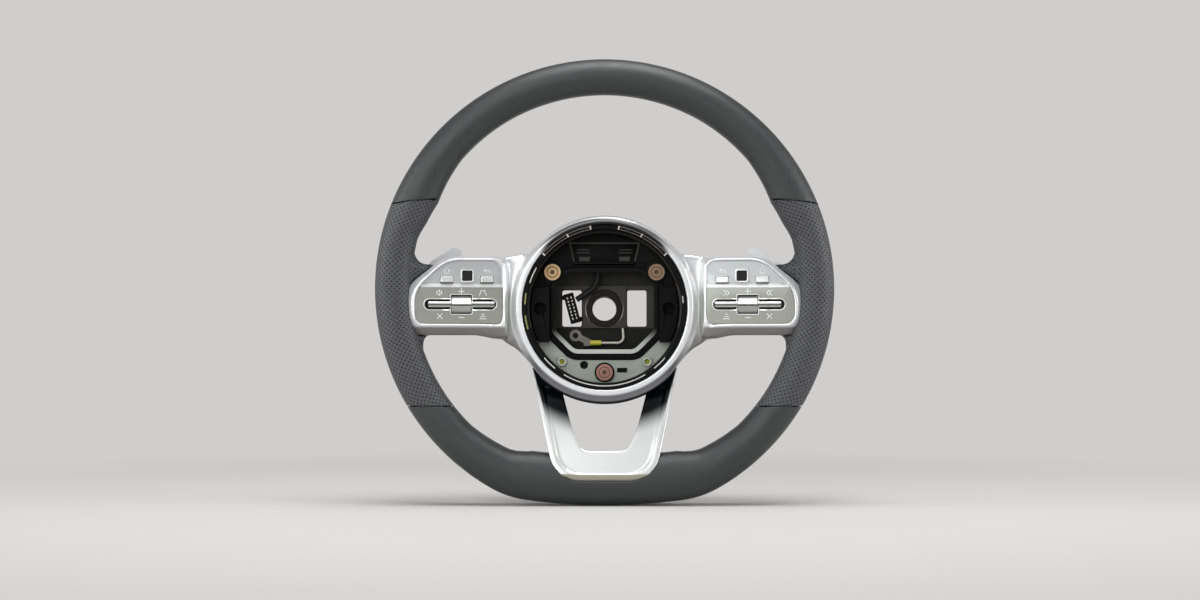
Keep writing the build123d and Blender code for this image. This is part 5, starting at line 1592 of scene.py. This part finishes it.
    def liner_clips(self) -> None:
        """Bright tabs and edges of the clip slots on the liner's front, and two olive strips."""
        tabs, edges = [], []
        for sign in (-1.0, 1.0):
            for turn in self.tab_turns:
                span = (sign * turn - self.tab_half, sign * turn + self.tab_half)
                tabs.append(self.clip_tab.bend("clip_tab", span))
            for arc in self.edge_arcs:
                span = tuple(sorted(sign * end for end in arc))
                edges += [strip.bend("clip_edge", span) for strip in self.clip_edges]
        tabs += [self.liner_lip.bend("liner_lip", span) for span in self.lip_arcs]
        olive = [self.clip_strip.bend("clip_strip", span) for span in self.strip_arcs]
        for made, name, finish, slot in (
            (tabs, "clip_tabs", CLIP_STEEL, "silver_trim"), (edges, "clip_edges", TINNED, "steel"),
            (olive, "clip_strips", CLIP_OLIVE, "yellow_sleeve"),
        ):
            piece = Bench.shift(Bench.join(made, name), (0.0, self.liner_front, 0.0))
            mount(piece, finish)

    @staticmethod
    def bearing(x: float, y: float) -> float:
        """Direction of a point round the origin, from 0 to a full turn."""
        return math.atan2(y, x) % (2.0 * math.pi)

    def band(self, name: str, corners: tuple[Flat, ...], width: float, corner: float) -> Piece:
        """A flat band on the plate's front, inside an outline that is the same left and right.

        Args:
            name: Name of the band.
            corners: The outline's corners on the right side.
            width: How wide it is.
            corner: How much of each corner is rounded off.

        Returns:
            The new piece, not yet mounted.
        """
        spots = [(sign * x, z) for sign in (1.0, -1.0) for x, z in corners]
        middle = sum(z for x, z in spots) / len(spots)
        spots.sort(key=lambda spot: self.bearing(spot[0], spot[1] - middle))
        Bench.clear()
        bpy.ops.mesh.primitive_circle_add(vertices=len(spots), fill_type="NGON")
        piece = Bench.named(name)
        vertices = sorted(piece.data.vertices, key=lambda vertex: self.bearing(vertex.co.x, vertex.co.y))
        for vertex, (x, z) in zip(vertices, spots):
            vertex.co = Vector((x, z, 0.0))
        Bench.raise_band(piece, width, self.band_height, self.band_edge, corner)
        upright = Matrix.Rotation(math.pi / 2, 4, "X")
        piece.data.transform(Matrix.Translation((0.0, self.plate_front, 0.0)) @ upright)
        return piece

    def peg_cores(self) -> Piece:
        """The green clips that show inside the two pegs.

        Returns:
            The new piece.
        """
        Bench.clear()
        bpy.ops.mesh.primitive_cylinder_add(
            vertices=24, radius=self.peg_radius, depth=self.peg_length, rotation=(math.pi / 2, 0.0, 0.0)
        )
        model = Bench.settle(Bench.named("peg_core"))
        with Bench.editing(model, lambda centre, normal: normal.y < -FACING):
            bpy.ops.mesh.inset(thickness=self.peg_wall)
            bpy.ops.transform.translate(value=(0.0, self.peg_hollow, 0.0))
        x, y, z = self.peg_place
        places = [Matrix.Translation((sign * x, y, z)) for sign in (-1.0, 1.0)]
        return mount(Bench.smooth(Bench.copies(model, "peg_cores", places)), PEG_GREEN)


@dataclass
class RearShell:
    """What the dashboard sees: the rear cover, its screws, the shift paddles and their hinges."""

    shell_ease: float = 0.0012
    bracket_ease: float = 0.0005

    def build(self) -> None:
        """Dress the rear CAD nodes."""
        dress_nodes({
            "rear_cover": (self.shell_ease, BLACK_MOULDED), "rear_cover_screws": (0.0004, BRIGHT_STEEL),
            "paddle_pins": (0.0003, BRIGHT_STEEL),
        })
        for side in Side:
            dress_nodes({
                "paddle": (self.shell_ease, PADDLE_SILVER),
                "paddle_bracket": (self.bracket_ease, BLACK_MOULDED),
            }, f"{side.label}_")


@dataclass
class Studio:
    """A pale seamless floor and backdrop, soft lamps, and the photograph's camera."""

    floor_z: float = -0.1594
    half: float = 3.0
    wall: float = 2.6
    spread: float = 3.0
    sweep: float = 1.2
    sweep_steps: int = 16
    floor_colour: Colour = (0.53, 0.519, 0.515)
    far_colour: Colour = (0.63, 0.615, 0.61)
    far_start: float = 0.34
    far_end: float = 0.95
    world_colour: Colour = (0.82, 0.82, 0.82)
    world_strength: float = 0.16
    lamps: tuple[tuple[str, Place, float, float], ...] = (
        ("key_lamp", (-1.0, -2.4, 0.95), 1.6, 25.0), ("left_lamp", (-1.7, -0.45, 0.35), 1.0, 18.0),
        ("right_lamp", (1.7, -0.45, 0.35), 1.0, 19.0), ("top_lamp", (0.1, -0.35, 1.7), 1.2, 34.0),
    )
    look: Place = (-0.0037, -0.054, 0.0056)
    distance: float = 1.5
    elevation: float = math.radians(-2.0)
    frame_width: float = 0.967
    sensor: float = 36.0

    def build(self) -> None:
        """Set the stage, the lamps, the world and the camera."""
        self.backdrop()
        for lamp in self.lamps:
            self.lamp(*lamp)
        self.world()
        self.camera()
        bpy.context.scene.view_settings.view_transform = "Standard"

    def backdrop(self) -> None:
        """A floor that sweeps up into walls far from the wheel."""
        Bench.clear()
        bpy.ops.mesh.primitive_plane_add(size=2.0 * self.half, location=(0.0, 0.0, self.floor_z))
        floor = Bench.settle(Bench.named("studio_floor"))
        for vertex in floor.data.vertices:
            vertex.co.x *= self.spread
            vertex.co.y *= self.spread if vertex.co.y < 0 else 1.0
        bpy.context.tool_settings.mesh_select_mode = (False, True, False)
        with Bench.editing(floor):
            bpy.ops.mesh.extrude_edges_move(TRANSFORM_OT_translate={"value": (0.0, 0.0, self.wall)})
        for edge in floor.data.edges:
            ends = [floor.data.vertices[i].co for i in edge.vertices]
            edge.select = all(abs(end.z - self.floor_z) < SAME_POINT for end in ends)
        bpy.ops.object.mode_set(mode="EDIT")
        bpy.ops.mesh.bevel(offset=self.sweep, segments=self.sweep_steps, affect="EDGES")
        bpy.ops.object.mode_set(mode="OBJECT")
        Bench.smooth(floor, ROUND_ANGLE)
        paper = Finish(
            "studio_paper", self.floor_colour, (0.8, 0.95), drift=0.015, drift_scale=3.0, grain_scale=500.0,
            grain_depth=0.00005,
        )
        dress(floor, paper)
        self.pale_distance(paper.material())

    def pale_distance(self, paper: bpy.types.Material) -> None:
        """Let paper far from the wheel show its own pale colour, whatever light reaches it.

        Args:
            paper: The floor's material.
        """
        sheet = Sheet(paper.node_tree)
        glow = sheet.add("Emission", {"Color": (*self.far_colour, 1.0)})
        rays = sheet.add("LightPath").outputs
        seen = sheet.maths("MAXIMUM", rays["Is Camera Ray"], rays["Is Glossy Ray"])
        seen = sheet.maths("MAXIMUM", seen, rays["Is Transmission Ray"])
        reach = sheet.vector("LENGTH", sheet.add("TexCoord").outputs["Object"])
        far = sheet.ramp(reach, self.far_start, self.far_end)
        nodes = paper.node_tree.nodes
        mixed = sheet.add("MixShader", {
            0: sheet.maths("MULTIPLY", seen, far), 1: nodes["Principled BSDF"].outputs[0], 2: glow.outputs[0],
        })
        sheet.feed(nodes["Material Output"], {"Surface": mixed.outputs[0]})

    def aim(self, piece: Piece, place: Vector) -> None:
        """Set a lamp or camera at a place and turn it towards the wheel."""
        piece.location = place
        piece.rotation_euler = (Vector(self.look) - place).to_track_quat("-Z", "Y").to_euler()

    def lamp(self, name: str, place: Place, size: float, watts: float) -> None:
        """A square soft lamp aimed at the wheel.

        Args:
            name: Its name.
            place: Where it hangs.
            size: Its edge.
            watts: Its power.
        """
        light = bpy.data.lights.new(name, "AREA")
        light.size = size
        light.energy = watts
        lamp = Bench.link(name, light)
        lamp.visible_camera = False
        self.aim(lamp, Vector(place))

    def world(self) -> None:
        """A plain pale sky for even light and reflections."""
        sky = bpy.data.worlds.new("studio_sky")
        sky.use_nodes = True
        entries = {"Color": (*self.world_colour, 1.0), "Strength": self.world_strength}
        Sheet(sky.node_tree).feed(sky.node_tree.nodes["Background"], entries)
        bpy.context.scene.world = sky

    def camera(self) -> None:
        """The camera at the photograph's angle, for a frame of 1200 by 600."""
        lens = bpy.data.cameras.new("photo_camera")
        lens.sensor_width = self.sensor
        lens.lens = self.sensor * self.distance / self.frame_width
        camera = Bench.link("photo_camera", lens)
        back = Vector((0.0, -math.cos(self.elevation), math.sin(self.elevation)))
        self.aim(camera, Vector(self.look) + back * self.distance)
        bpy.context.scene.camera = camera


def main() -> None:
    """Build every sub-assembly in order."""
    logging.basicConfig(level=logging.INFO, format="%(name)s: %(message)s")
    assemblies = (
        Studio(), LeatherRim(), SilverMouldings(), SpokeSwitches(Side.LEFT), SpokeSwitches(Side.RIGHT),
        HubWell(), RearShell(),
    )
    for assembly in assemblies:
        LOG.info("building %s", type(assembly).__name__)
        assembly.build()


if __name__ == "__main__":
    main()
